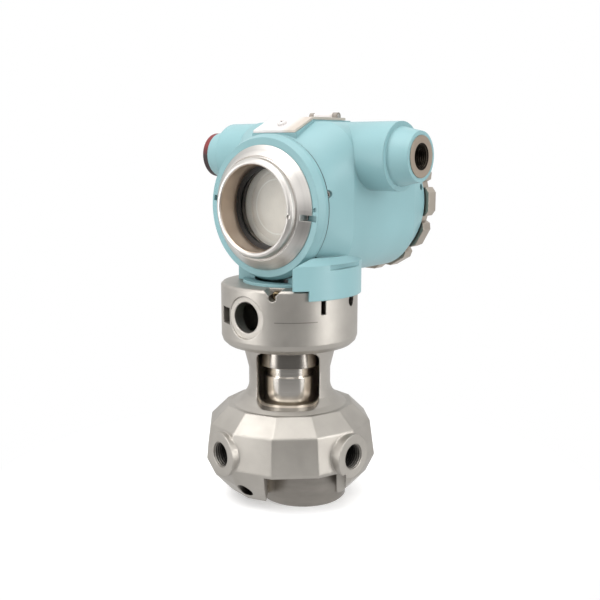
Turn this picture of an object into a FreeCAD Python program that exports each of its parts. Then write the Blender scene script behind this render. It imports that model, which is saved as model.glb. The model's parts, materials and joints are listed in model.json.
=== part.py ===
import FreeCAD, Part
import os
import re
import Sketcher
from FreeCAD import Placement, Rotation, Vector

# Differential pressure transmitter, millimetres, +Z up.
# Origin: on the swivel axis of the housing, at the level of the foot's underside.
# The display faces -Y and the two cable entries lie along X.  The measuring cell stands
# turned about Z by cell_turn, as the swivel joint between collar and housing allows.

doc = FreeCAD.newDocument("transmitter")

SIZES = (
    # measuring cell: one steel casting of collar, neck and faceted body
    ("cell_turn", 36.0, "turn of the cell against the housing, degrees"),
    ("facet_turn", 7.0, "turn of the facets against the cell, degrees"),
    ("foot_radius", 32.0, "closing cap that the cell stands on"),
    ("foot_shift", 10.0, "cap centre off the swivel axis"),
    ("foot_top", 27.0, "cap height"),
    ("foot_chamfer", 1.0, "edge of the cap's underside"),
    ("cell_half_width", 62.0, "faceted wall, side to side"),
    ("cell_half_depth", 57.5, "faceted wall, front to back"),
    ("wall_top_half_width", 58.5, "faceted wall at its upper edge"),
    ("lower_half_width", 56.0, "lower slope where it steepens"),
    ("base_half_width", 44.0, "underside of the body"),
    ("shoulder_half_width", 46.0, "upper end of the sloping facets"),
    ("cell_base", 7.0, "underside level"),
    ("wall_low", 33.0, "lower edge of the facets"),
    ("lower_level", 20.0, "level where the lower slope steepens"),
    ("wall_high", 59.0, "upper edge of the facets"),
    ("shoulder_level", 71.5, "top of the sloping facets"),
    ("facet_round", 2.5, "softening of the cast facet edges"),
    ("port_height", 42.0, "process port axis"),
    ("port_angle", 50.0, "each port, either side of the cell's front, degrees"),
    ("port_radius", 9.25, "1/2-14 NPT hole, wall radius"),
    ("port_boss_radius", 16.0, "raised boss round each port"),
    ("port_boss_reach", 62.0, "boss face from the axis"),
    ("capsule_radius", 27.0, "measuring capsule"),
    ("capsule_top", 56.0, "capsule top"),
    ("capsule_flat", 23.0, "milled flats that carry the diaphragms, from the axis"),
    ("diaphragm_radius", 11.0, "isolating diaphragm"),
    ("diaphragm_thickness", 0.8, "isolating diaphragm with its weld ring"),
    ("drain_radius", 5.2, "drain tapping in the lower slope"),
    ("drain_height", 16.0, "drain tapping centre"),
    ("drain_angle", 36.0, "drain tapping, left of the cell's front, degrees"),
    ("neck_radius", 30.2, "outside of the neck"),
    ("neck_bore", 24.2, "inside of the neck"),
    ("neck_low", 86.0, "end of the neck's straight stretch"),
    ("neck_high", 98.0, "start of the neck's upper flare"),
    ("window_low", 74.0, "sill of the neck window"),
    ("window_width", 45.0, "neck window"),
    ("window_round", 6.0, "corner radius of the neck window"),
    ("collar_radius", 50.0, "collar"),
    ("collar_under", 116.0, "underside of the collar"),
    ("collar_low", 123.5, "lower edge of the collar's straight wall"),
    ("collar_top", 162.0, "seat of the housing"),
    ("collar_foot_radius", 42.0, "collar underside"),
    ("collar_floor", 121.0, "floor inside the collar"),
    ("cavity_radius", 40.0, "inside of the collar below the bearing"),
    ("bearing_radius", 34.0, "swivel bearing bore"),
    ("bearing_depth", 10.0, "length of the swivel bearing"),
    ("rim_chamfer", 1.5, "edge break of the collar"),
    ("collar_window_radius", 11.0, "round window in the collar"),
    ("collar_window_angle", 36.0, "round window, left of the cell's front, degrees"),
    ("collar_window_height", 141.5, "round window"),
    ("spot_radius", 15.0, "spot face round the window"),
    ("spot_depth", 2.4, "spot face, in from the collar's wall"),
    ("side_window_angle", 62.0, "square window, degrees"),
    ("side_window_width", 13.0, "square window"),
    ("side_window_height", 12.0, "square window"),
    ("bracket_slot_angle", 31.0, "upright slot, right of the cell's front, degrees"),
    ("bracket_slot_width", 3.6, "upright slot"),
    ("bracket_slot_length", 10.5, "upright slot"),
    ("bracket_slot_depth", 6.0, "upright slot"),
    ("stop_hole_radius", 4.2, "round hole under the housing's skirt"),
    ("stop_hole_angle", 64.5, "round hole, degrees"),
    ("stop_hole_height", 151.5, "round hole"),
    ("collar_hole_height", 150.0, "upright slot"),
    ("notch_angle", 10.7, "lock screw notch, left of the cell's front, degrees"),
    ("notch_width", 12.0, "lock screw notch at the rim"),
    ("notch_depth", 6.0, "lock screw notch, down from the rim"),
    ("notch_reach", 14.0, "lock screw notch, in from the wall"),
    ("relief_start", 20.0, "front relief of the lower slope, from the cell's mid plane"),
    ("relief_left", 15.0, "front relief, left of the port plane"),
    ("relief_right", 42.0, "front relief, right of the port plane"),
    ("relief_top", 26.0, "front relief"),
    ("slot_start", 28.5, "slot over the front relief, from the cell's mid plane"),
    ("slot_top", 31.0, "slot over the front relief"),
    # sensor parts in the neck
    ("tube_radius", 19.5, "sensor tube"),
    ("tube_top", 117.0, "sensor tube top"),
    ("nut_radius", 22.5, "union nut on the sensor tube"),
    ("nut_low", 100.5, "union nut underside"),
    ("nut_groove", 7.5, "waist under the union nut"),
    ("tube_bore", 13.0, "inside of the sensor tube"),
    ("chip_radius", 9.0, "pressure sensor can"),
    ("chip_height", 12.0, "pressure sensor can"),
    ("fill_tube_radius", 1.2, "oil fill tubes"),
    ("fill_tube_spread", 6.0, "oil fill tubes off the axis"),
    ("header_thickness", 5.0, "glass-sealed header"),
    ("header_plug_radius", 5.0, "pin block from the header to the sensor board"),
    ("sensor_board_radius", 30.0, "sensor board on the collar floor"),
    ("board_screw_inset", 3.0, "board screws, in from the board's edge"),
    # housing casting
    ("axis_rise", 54.5, "display axis above the collar"),
    ("seam_face", 19.0, "front rim, ahead of the swivel axis"),
    ("seam_radius", 50.0, "front rim"),
    ("flare_end", 4.0, "front flare meets the box section"),
    ("rear_flare", 84.0, "box section meets the rear flare"),
    ("body_rear", 100.0, "rear rim"),
    ("rear_rim_radius", 53.0, "rear rim"),
    ("body_half_width", 54.0, "box section"),
    ("body_drop", 49.5, "box section below the display axis"),
    ("body_rise", 59.5, "box section above the display axis"),
    ("lower_corner", 34.0, "box section, lower corner radius"),
    ("upper_corner", 26.0, "box section, upper corner radius"),
    ("bore_radius", 44.0, "threaded mouth and inside of both compartments"),
    ("front_depth", 8.0, "front compartment floor, behind the swivel axis"),
    ("partition", 6.0, "wall between the compartments"),
    ("entry_y", 28.0, "cable entries, behind the swivel axis"),
    ("entry_rise", 35.5, "cable entries above the display axis"),
    ("entry_root_radius", 24.0, "thick root of a cable entry"),
    ("entry_step", 77.0, "end of the root"),
    ("entry_neck_radius", 20.5, "entry boss at the step"),
    ("entry_tip_radius", 17.3, "entry boss at its face"),
    ("entry_reach", 92.0, "entry face from the swivel axis"),
    ("entry_bore", 9.2, "M20x1.5 cable entry, wall radius"),
    ("entry_way_radius", 10.2, "way behind the thread insert"),
    ("insert_radius", 14.4, "steel thread insert"),
    ("insert_depth", 18.0, "steel thread insert"),
    ("insert_proud", 0.6, "insert face ahead of the boss"),
    ("skirt_radius", 52.5, "pedestal and its skirt"),
    ("skirt_drop", 7.0, "lower edge of the skirt below the collar's top"),
    ("skirt_half_angle", 36.0, "skirt, either side of X, degrees"),
    ("swivel_gap", 0.3, "housing to collar"),
    ("pedestal_rise", 22.0, "top of the pedestal above the collar, inside the barrel"),
    ("pedestal_shoulder", 179.0, "start of the pedestal's upper cone"),
    ("pedestal_cone", 3.5, "narrowing of the upper cone"),
    ("pedestal_left", 34.5, "flat left side of the pedestal, from the swivel axis"),
    ("scallop_radius", 38.0, "hollow in the pedestal's front"),
    ("scallop_centre", 55.0, "hollow centre ahead of the swivel axis"),
    ("ledge_rise", 13.5, "slot under the barrel, above the collar"),
    ("ledge_height", 3.4, "slot under the barrel"),
    ("ledge_depth", 3.0, "slot under the barrel"),
    ("ledge_length", 34.0, "slot under the barrel"),
    ("spigot_bore", 25.0, "inside of the swivel spigot"),
    ("spigot_drop", 15.0, "end of the swivel spigot below the collar's top"),
    ("spigot_step", 31.0, "seat of the retaining ring"),
    ("spigot_ceiling", 166.0, "upper end of the spigot's bore"),
    ("feed_radius", 7.0, "wire way from the spigot to the electronics"),
    ("feed_y", 2.0, "wire way, ahead of the swivel axis"),
    ("ring_radius", 37.0, "retaining ring of the swivel"),
    ("ring_thickness", 3.3, "retaining ring of the swivel"),
    ("swivel_seal_drop", 5.0, "seal groove on the spigot below the collar's top"),
    ("cover_relief_radius", 52.3, "room for the front cover in the pedestal"),
    ("running", 0.05, "clearance of fixed and turning fits"),
    ("thread_clearance", 0.1, "radial clearance of the cover threads and the dust plug"),
    ("side_clearance", 0.3, "clearance beside parts that swing"),
    # key box on top
    ("key_half_width", 20.0, "key box"),
    ("key_front", 17.0, "front end of the key box, ahead of the swivel axis"),
    ("key_front_rise", 51.5, "front edge of its slope"),
    ("key_slope_end", 3.0, "slope meets the flat top"),
    ("key_rise", 60.8, "flat top above the display axis"),
    ("key_rear", 47.0, "rear end of the key box"),
    ("recess_width", 33.0, "key recess"),
    ("recess_length", 18.0, "key recess"),
    ("recess_depth", 6.0, "key recess"),
    ("recess_centre", 22.0, "key recess, behind the swivel axis"),
    ("key_pitch", 10.5, "keys"),
    ("key_radius", 4.0, "keys"),
    ("key_travel", 1.5, "keys"),
    ("key_height", 6.0, "keys"),
    ("key_bore_depth", 6.0, "blind key bores below the recess"),
    ("key_panel_thickness", 1.5, "key panel"),
    ("lid_thickness", 1.8, "key cover"),
    ("lid_gap", 0.2, "key cover above its box"),
    ("lid_half_width", 19.0, "key cover"),
    ("hinge_y", 42.0, "key cover pin, behind the swivel axis"),
    ("hinge_rise", 64.4, "key cover pin above the display axis"),
    ("knuckle_radius", 2.6, "key cover knuckle and ears"),
    ("knuckle_half_length", 8.5, "key cover knuckle"),
    ("ear_length", 4.0, "ears of the key cover pin"),
    ("pin_radius", 1.25, "key cover pin"),
    ("lid_screw_radius", 3.4, "key cover screw head"),
    ("lid_screw_height", 2.0, "key cover screw head"),
    ("lid_screw_shank", 1.5, "key cover screw"),
    ("lid_screw_tip", 1.2, "point of the key cover screw below the cover"),
    ("lid_screw_room", 0.6, "room round the point in the key box"),
    # front cover
    ("seam_gap", 1.5, "open seam between cover and body"),
    ("cover_radius", 51.0, "front cover"),
    ("cover_rim_radius", 48.5, "front edge of the painted cover"),
    ("cover_face", 29.0, "painted face, ahead of the swivel axis"),
    ("cover_shoulder", 24.0, "end of the cover's straight rim"),
    ("cover_end", 6.5, "inner end of the cover thread, ahead of the swivel axis"),
    ("cover_wall", 4.5, "wall of the threaded skirt"),
    ("bezel_radius", 43.5, "bezel"),
    ("bezel_thread", 38.0, "bezel thread"),
    ("bezel_front", 41.0, "bezel's inner ring, ahead of the swivel axis"),
    ("bezel_back", 24.0, "inner end of the bezel"),
    ("bezel_slot_width", 4.0, "spanner slots of the bezel"),
    ("bezel_slot_inner", 37.5, "spanner slots, inner end"),
    ("bezel_slot_outer", 47.0, "spanner slots, outer end"),
    ("bezel_slot_depth", 2.5, "spanner slots, below the painted face"),
    ("bezel_slot_angle", -7.0, "right-hand spanner slot above the display axis, degrees"),
    ("pit_depth", 1.2, "small pits in the cover's face"),
    ("bezel_pit_radius", 1.3, "small pit in the bezel's ring"),
    ("bezel_pit_circle", 32.3, "small pit in the bezel's ring"),
    ("cover_pit_radius", 1.5, "small pit over the spanner slot"),
    ("cover_pit_circle", 45.5, "small pit over the spanner slot"),
    ("cover_pit_angle", 0.5, "small pit above the display axis, degrees"),
    ("opening_radius", 30.0, "window opening"),
    ("bezel_groove_radius", 35.2, "groove in the bezel"),
    ("gasket_bore", 27.0, "window gasket"),
    ("gasket_thickness", 1.5, "window gasket"),
    ("glass_radius", 31.0, "window glass"),
    ("glass_thickness", 7.0, "window glass"),
    ("glass_seat", 28.5, "bore of the shoulder behind the glass"),
    ("seat_thickness", 3.0, "shoulder behind the glass"),
    ("seal_radius", 1.3, "section radius of the cover seals"),
    # rear cover
    ("rear_cover_radius", 50.5, "rear cover between its lobes"),
    ("rear_lobe_radius", 56.0, "rear cover over its lobes"),
    ("rear_lobe_count", 12, "lobes"),
    ("rear_lobe_width", 22.0, "lobes"),
    ("rear_cover_depth", 12.0, "rear cover rim"),
    ("rear_cover_dish", 3.0, "dished face of the rear cover"),
    ("rear_thread_length", 14.0, "rear cover thread"),
    # display and electronics
    ("display_radius", 37.0, "display module"),
    ("display_face", 11.0, "display face, ahead of the swivel axis"),
    ("display_back", 3.5, "back of the display module"),
    ("module_face", 9.8, "face of the display module"),
    ("screen_face", 10.6, "screen surface"),
    ("screen_radius", 24.4, "visible screen"),
    ("screen_ring_radius", 31.0, "pale ring round the screen"),
    ("electronics_radius", 41.0, "electronics module"),
    ("electronics_flat", 33.0, "flat under the electronics module"),
    ("board_thickness", 1.6, "circuit boards"),
    ("main_board_radius", 40.0, "main board"),
    ("small_screw_radius", 2.0, "display and board screws"),
    ("small_screw_circle", 34.0, "display screws"),
    ("terminal_radius", 38.0, "terminal block"),
    ("terminal_depth", 20.0, "terminal block"),
    ("terminal_flat", 22.0, "top of the terminal block above the display axis"),
    ("terminal_screw_radius", 4.0, "terminal screws"),
    ("terminal_pitch", 15.0, "terminal screws"),
    ("feedthrough_radius", 9.0, "sealed feedthrough in the partition"),
    ("lock_screw_radius", 2.4, "cover lock screws"),
    ("lock_screw_angle", 12.5, "cover lock screws above the display axis, degrees"),
    ("lock_screw_inset", 4.2, "rear cover lock screw, in from the rim"),
    ("front_lock_inset", 1.3, "front cover lock screw, in from the rim"),
    ("lock_screw_length", 5.0, "cover lock screws"),
    ("swivel_screw_radius", 2.6, "swivel lock screw"),
    ("swivel_screw_reach", 39.5, "swivel lock screw, from the axis"),
    ("ribbon_width", 10.0, "ribbon cable"),
    ("ribbon_thickness", 0.8, "ribbon cable"),
    ("ribbon_plug_height", 5.0, "plug of the ribbon cable"),
    ("plug_radius", 17.0, "dust plug flange"),
    ("plug_flange", 6.0, "dust plug flange"),
    ("plug_length", 16.0, "dust plug shank"),
    ("plug_wall", 2.2, "dust plug wall"),
    ("ground_radius", 4.5, "ground screw heads"),
    ("ground_head", 3.0, "ground screw heads"),
    ("ground_shank", 2.0, "ground screws"),
    ("ground_length", 8.0, "ground screws"),
    ("ground_drop", 10.5, "outer ground screw below the display axis"),
    ("ground_y", 60.0, "outer ground screw, behind the swivel axis"),
    ("ground_spot_radius", 6.5, "spot face of the outer ground screw"),
    ("ground_spot_depth", 1.5, "spot face of the outer ground screw"),
    ("clamp_radius", 5.5, "clamp washer of the outer ground screw"),
    ("clamp_thickness", 1.0, "clamp washer of the outer ground screw"),
    ("inner_ground_rise", 33.0, "inner ground screw above the display axis"),
)

sheet = doc.addObject("Spreadsheet::Sheet", "Sizes")
for row, (alias, number, note) in enumerate(SIZES, start=1):
    sheet.set(f"A{row}", note)
    sheet.set(f"B{row}", str(number))
    sheet.setAlias(f"B{row}", alias)
doc.recompute()

# Levels of the housing, which follow the collar that carries it.
LEVELS = {
    "housing_axis": "(collar_top + axis_rise)",
    "ground_height": "(collar_top + axis_rise - ground_drop)",
    "pedestal_top": "(collar_top + pedestal_rise)",
    "ledge_level": "(collar_top + ledge_rise)",
    "skirt_low": "(collar_top - skirt_drop)",
    "spigot_low": "(collar_top - spigot_drop)",
    "swivel_seal_level": "(collar_top - swivel_seal_drop)",
}

LEVEL = re.compile(r"\b(" + "|".join(LEVELS) + r")\b")
WORD = re.compile(r"\b(" + "|".join(sorted((name for name, _, _ in SIZES), key=len, reverse=True)) + r")\b")
PIECES = []


def bound(text):
    """A rule written with size names, as an expression on the sheet."""
    levelled = LEVEL.sub(lambda found: LEVELS[found.group(1)], str(text))
    return WORD.sub(r"Sizes.\1", levelled)


def value(text):
    """The present value of such a rule."""
    return float(sheet.evalExpression(bound(text)))


def tie(thing, prop, text):
    """Bind a property of a document object to the sheet."""
    thing.setExpression(prop, bound(text))


def piece(thing, label):
    """Name a finished sub-part and list it for export."""
    thing.Label = label
    PIECES.append(thing)
    return thing


def new_body(label):
    return piece(doc.addObject("PartDesign::Body", label), label)


def plane(body, role):
    return next(item for item in body.Origin.OriginFeatures if item.Role == role)


def sketch_on(body, role, lift=None, rise=None):
    """An empty sketch on an origin plane, lifted along its normal and raised within the plane."""
    sketch = body.newObject("Sketcher::SketchObject", body.Name + "_sketch")
    sketch.AttachmentSupport = [(plane(body, role), "")]
    sketch.MapMode = "FlatFace"
    if lift is not None:
        tie(sketch, "AttachmentOffset.Base.z", lift)
    if rise is not None:
        tie(sketch, "AttachmentOffset.Base.y", rise)
    return sketch


def free_sketch(body, x, y, z, *turns):
    """An empty sketch off the origin planes: a seat from rules, then turns of (axis, degrees)."""
    tilt = " * ".join(
        f"create(<<rotation>>; create(<<vector>>; {ax}; {ay}; {az}); {angle})"
        for (ax, ay, az), angle in turns
    )
    sketch = body.newObject("Sketcher::SketchObject", body.Name + "_sketch")
    tie(sketch, "Placement", f"create(<<placement>>; create(<<vector>>; {x}; {y}; {z}); {tilt})")
    return sketch


def pin_point(sketch, geo, end, rule, axis):
    """Hold one coordinate of a sketch point at a rule of the sheet."""
    if str(rule) == "0":
        sketch.addConstraint(Sketcher.Constraint("PointOnObject", geo, end, -2 if axis == "X" else -1))
        return
    index = sketch.addConstraint(Sketcher.Constraint("Distance" + axis, -1, 1, geo, end, value(rule)))
    tie(sketch, f"Constraints[{index}]", rule)


def outline(sketch, points):
    """A closed run of straight edges; each corner is a pair of rules."""
    corners = [Vector(value(x), value(y)) for x, y in points]
    first = sketch.GeometryCount
    count = len(corners)
    for i in range(count):
        sketch.addGeometry(Part.LineSegment(corners[i], corners[(i + 1) % count]))
    for i in range(count):
        sketch.addConstraint(Sketcher.Constraint("Coincident", first + i, 2, first + (i + 1) % count, 1))
    for i, (x, y) in enumerate(points):
        pin_point(sketch, first + i, 1, x, "X")
        pin_point(sketch, first + i, 1, y, "Y")
    return sketch


def circle(sketch, radius, x="0", y="0"):
    """A circle whose radius and centre follow rules."""
    centre = Vector(value(x), value(y))
    geo = sketch.addGeometry(Part.Circle(centre, Vector(0, 0, 1), value(radius)))
    index = sketch.addConstraint(Sketcher.Constraint("Radius", geo, value(radius)))
    tie(sketch, f"Constraints[{index}]", radius)
    pin_point(sketch, geo, 3, x, "X")
    pin_point(sketch, geo, 3, y, "Y")
    return sketch


def rectangle(sketch, width, height, x="0", y="0"):
    """An upright rectangle about a centre."""
    left, right = f"({x}) - ({width}) / 2", f"({x}) + ({width}) / 2"
    low, high = f"({y}) - ({height}) / 2", f"({y}) + ({height}) / 2"
    return outline(sketch, [(left, low), (right, low), (right, high), (left, high)])


def arc_or_line(sketch, start, end, radius, centre):
    """One edge of a ring: an arc about a centre, or a straight side where no radius is given."""
    a, b = (Vector(value(x), value(y)) for x, y in (start, end))
    if radius is None:
        return sketch.addGeometry(Part.LineSegment(a, b))
    middle = Vector(value(centre[0]), value(centre[1]))
    crown = middle + (a + b - middle * 2).normalize() * value(radius)
    geo = sketch.addGeometry(Part.Arc(a, crown, b))
    index = sketch.addConstraint(Sketcher.Constraint("Radius", geo, value(radius)))
    tie(sketch, f"Constraints[{index}]", radius)
    return geo


def rounded_ring(sketch, corners, rim=None):
    """A box section from four corners of (centre, centre, radius), or the round rim it flares into.

    Both have eight edges whose ends lie on the same rays from the sketch's origin.
    """
    points = []
    for index, (x, y, radius) in enumerate(corners):
        for angle in (90 * index, 90 * index + 90):
            px, py = f"({x} + {radius} * cos({angle} deg))", f"({y} + {radius} * sin({angle} deg))"
            scale = f" * {rim} / sqrt({px} ^ 2 + {py} ^ 2)" if rim else ""
            points.append((px + scale, py + scale))
    for index in range(8):
        x, y, radius = corners[index // 2]
        if rim:
            shape = (rim, ("0", "0"))
        else:
            shape = (radius, (x, y)) if index % 2 == 0 else (None, None)
        arc_or_line(sketch, points[index], points[(index + 1) % 8], *shape)
    for index in range(8):
        sketch.addConstraint(Sketcher.Constraint("Coincident", index, 2, (index + 1) % 8, 1))
    for index, (x, y) in enumerate(points):
        pin_point(sketch, index, 1, x, "X")
        pin_point(sketch, index, 1, y, "Y")
    return sketch


def spin(body, sketch, cut=False, axis="V_Axis"):
    """Turn a profile round the upright, or the level, axis of its sketch."""
    kind = "Groove" if cut else "Revolution"
    feature = body.newObject("PartDesign::" + kind, body.Name + "_" + kind)
    feature.Profile = sketch
    feature.ReferenceAxis = (sketch, [axis])
    feature.Angle = 360
    return feature


def draw_out(body, sketch, length, cut=False, back=False, both=False):
    """Pad or pocket a sketch by a rule, along its normal, against it, or both ways."""
    kind = "Pocket" if cut else "Pad"
    feature = body.newObject("PartDesign::" + kind, body.Name + "_" + kind)
    feature.Profile = sketch
    tie(feature, "Length", length)
    feature.Reversed = back
    feature.Midplane = both
    return feature


def soften(body, base, radius, wanted, kind="Fillet"):
    """Round, or chamfer, the edges of a feature that pass a test."""
    doc.recompute()
    names = [f"Edge{i}" for i, edge in enumerate(base.Shape.Edges, start=1) if wanted(edge)]
    feature = body.newObject("PartDesign::" + kind, body.Name + "_" + kind)
    feature.Base = (base, names)
    tie(feature, "Radius" if kind == "Fillet" else "Size", radius)
    return feature


def place(thing, x="0", y="0", z="0", axis=(0, 0, 1), turn="0"):
    """Seat a piece: a turn about an axis, then a shift, all from rules."""
    thing.Placement = Placement(Vector(0, 0, 0), Rotation(Vector(*axis), 0))
    for name, rule in (("x", x), ("y", y), ("z", z)):
        if str(rule) != "0":
            tie(thing, "Placement.Base." + name, rule)
    if str(turn) != "0":
        thing.Placement.Rotation = Rotation(Vector(*axis), 1)
        tie(thing, "Placement.Rotation.Angle", turn)
    return thing


FRONT = {"z": "housing_axis", "axis": (1, 0, 0), "turn": "90"}
REAR = {"z": "housing_axis", "axis": (1, 0, 0), "turn": "-90"}


def turned(label, profile, **seat):
    """A turned piece from a half profile of (radius, height) rules."""
    body = new_body(label)
    spin(body, outline(sketch_on(body, "XZ_Plane"), profile))
    place(body, **seat)
    return body


def tube(radius, bore, low, high):
    """Half profile of a plain ring, or of a disc where the bore is 0."""
    return [(bore, low), (radius, low), (radius, high), (bore, high)]


def part_cylinder(name, radius, height):
    """A Part cylinder with both sizes from rules."""
    solid = doc.addObject("Part::Cylinder", name)
    tie(solid, "Radius", radius)
    tie(solid, "Height", height)
    return solid


def fused(label, shapes):
    """One node of several like solids, kept apart."""
    group = doc.addObject("Part::Compound", label)
    group.Links = shapes
    return piece(group, label)


# ---------------------------------------------------------------- measuring cell

FACETS = 12
PORT_SIDES = ("-port_angle", "port_angle")


def facet_ring(sketch, half_width):
    """A twelve-sided ring, longer one way as the wall is, with flats square to the sketch's axes."""
    step = 180 / FACETS
    points = []
    for side in range(FACETS):
        angle = f"{step * (2 * side + 1)} deg"
        points.append((
            f"{half_width} * cos({angle}) / cos({step} deg)",
            f"{half_width} * cell_half_depth / cell_half_width * sin({angle}) / cos({step} deg)",
        ))
    return outline(sketch, points)


def loft(body, sections):
    """A ruled loft through sketches."""
    feature = body.newObject("PartDesign::AdditiveLoft", body.Name + "_Loft")
    feature.Profile = sections[0]
    feature.Sections = sections[1:]
    feature.Ruled = True
    return feature


def radial_sketch(body, angle, height, reach):
    """A sketch square to a radius: angle from -Y towards +X, reach out from the Z axis."""
    return free_sketch(
        body, f"({reach}) * sin(({angle}) * 1 deg)", f"-({reach}) * cos(({angle}) * 1 deg)", height,
        ((0, 0, 1), angle), ((1, 0, 0), 90),
    )


def radial_cut(body, angle, height, draw, start, end):
    """A pocket through a wall along a radius, from end inwards to start."""
    sketch = radial_sketch(body, angle, height, end)
    draw(sketch)
    return draw_out(body, sketch, f"({end}) - ({start})", cut=True)


def make_cell_casting():
    """Collar, neck and faceted body: one casting, bored for the capsule and the swivel."""
    body = new_body("cell_casting")
    levels = (
        ("shoulder_half_width", "shoulder_level"),
        ("wall_top_half_width", "wall_high"),
        ("cell_half_width", "wall_low"),
        ("lower_half_width", "lower_level"),
        ("base_half_width", "cell_base"),
    )
    rings = [(free_sketch(body, "0", "0", z, ((0, 0, 1), "facet_turn")), x) for x, z in levels]
    facets = loft(body, [facet_ring(sketch, x) for sketch, x in rings])
    soften(body, facets, "facet_round", lambda e: e.BoundBox.ZMax > value("cell_base") + 1
           and e.BoundBox.ZMin < value("shoulder_level") - 1)
    spin(body, outline(sketch_on(body, "XZ_Plane"), [
        ("0", "wall_high"),
        ("shoulder_half_width - 5", "wall_high"),
        ("shoulder_half_width - 4", "shoulder_level"),
        ("neck_radius + 7.5", "shoulder_level + 3"),
        ("neck_radius + 2.6", "neck_low - 7"),
        ("neck_radius + 0.6", "neck_low - 3"),
        ("neck_radius", "neck_low"),
        ("neck_radius", "neck_high"),
        ("neck_radius + 3.2", "neck_high + 13"),
        ("neck_radius + 4.5", "collar_under"),
        ("collar_foot_radius", "collar_under"),
        ("collar_foot_radius + 4", "collar_under + 1.2"),
        ("collar_radius - 1.1", "collar_under + 4"),
        ("collar_radius", "collar_low"),
        ("collar_radius", "collar_top - rim_chamfer"),
        ("collar_radius - rim_chamfer", "collar_top"),
        ("0", "collar_top"),
    ]))
    for side in PORT_SIDES:
        boss = circle(radial_sketch(body, side, "port_height", "port_boss_reach - 22"), "port_boss_radius")
        draw_out(body, boss, "22")
    cut_cell_bores(body)
    cut_neck_window(body)
    cut_collar_openings(body)
    return place(body, turn="cell_turn")


def cut_cell_bores(body):
    """Seats of the foot, the capsule, the sensor tube and the swivel, then ports and drain."""
    spin(body, outline(sketch_on(body, "XZ_Plane"), [
        ("0", "cell_base - 1"),
        ("capsule_radius + running", "cell_base - 1"),
        ("capsule_radius + running", "capsule_top"),
        ("tube_radius + running", "capsule_top"),
        ("tube_radius + running", "window_low - 3"),
        ("neck_bore", "window_low - 3"),
        ("neck_bore", "collar_floor"),
        ("cavity_radius", "collar_floor"),
        ("cavity_radius", "collar_top - bearing_depth"),
        ("bearing_radius", "collar_top - bearing_depth"),
        ("bearing_radius", "collar_top + 1"),
        ("0", "collar_top + 1"),
    ]), cut=True)
    foot_seat = circle(sketch_on(body, "XY_Plane", "cell_base - 1"), "foot_radius + running", "foot_shift")
    draw_out(body, foot_seat, "foot_top - cell_base + 1", cut=True, back=True)
    for side in PORT_SIDES:
        radial_cut(body, side, "port_height", lambda s: circle(s, "port_radius"),
                   "capsule_flat", "port_boss_reach + 1")
    radial_cut(body, "-drain_angle", "drain_height", lambda s: circle(s, "drain_radius"),
               "capsule_radius + 8", "cell_half_width + 4")
    for start, top in (("relief_start", "relief_top"), ("slot_start", "slot_top")):
        relief = outline(sketch_on(body, "XY_Plane", "cell_base - 1"), [
            ("-relief_left", "-" + start),
            ("-relief_left", "-cell_half_width"),
            ("relief_right", "-cell_half_width"),
            ("relief_right", "-" + start),
        ])
        draw_out(body, relief, f"{top} - cell_base + 1", cut=True, back=True)


def cut_neck_window(body):
    """The tall opening in the neck's front that bares the sensor tube."""
    side = "(window_width / 2 - window_round)"
    top = "(collar_under - 2 - window_round)"
    foot = "(window_low + window_round)"
    window = rounded_ring(sketch_on(body, "XZ_Plane"), (
        (side, top, "window_round"),
        ("-" + side, top, "window_round"),
        ("-" + side, foot, "window_round"),
        (side, foot, "window_round"),
    ))
    draw_out(body, window, "neck_radius + 10", cut=True, back=True)


def cut_collar_openings(body):
    """Windows, slot, hole and lock screw notch in the collar's wall."""
    end = "collar_radius + 4"
    inside = "cavity_radius - 4"
    blind = "collar_radius - bracket_slot_depth"
    window = "-collar_window_angle"
    radial_cut(body, window, "collar_window_height", lambda s: circle(s, "spot_radius"),
               "collar_radius - spot_depth", end)
    radial_cut(body, window, "collar_window_height",
               lambda s: circle(s, "collar_window_radius"), inside, end)
    radial_cut(body, "-side_window_angle", "collar_window_height - 1",
               lambda s: rectangle(s, "side_window_width", "side_window_height"), inside, end)
    radial_cut(body, "bracket_slot_angle", "collar_hole_height",
               lambda s: rectangle(s, "bracket_slot_width", "bracket_slot_length"), blind, end)
    radial_cut(body, "stop_hole_angle", "stop_hole_height",
               lambda s: circle(s, "stop_hole_radius"), blind, end)
    notch = [
        ("-notch_width / 2", "0"),
        ("0", "-notch_depth"),
        ("notch_width / 2", "0"),
        ("notch_width / 2", "2"),
        ("-notch_width / 2", "2"),
    ]
    radial_cut(body, "-notch_angle", "collar_top",
               lambda s: outline(s, notch), "collar_radius - notch_reach", end)
    radial_cut(body, "-notch_angle", "collar_top - bearing_depth / 2",
               lambda s: circle(s, "swivel_screw_radius + running"), "bearing_radius - 1", end)


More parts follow.
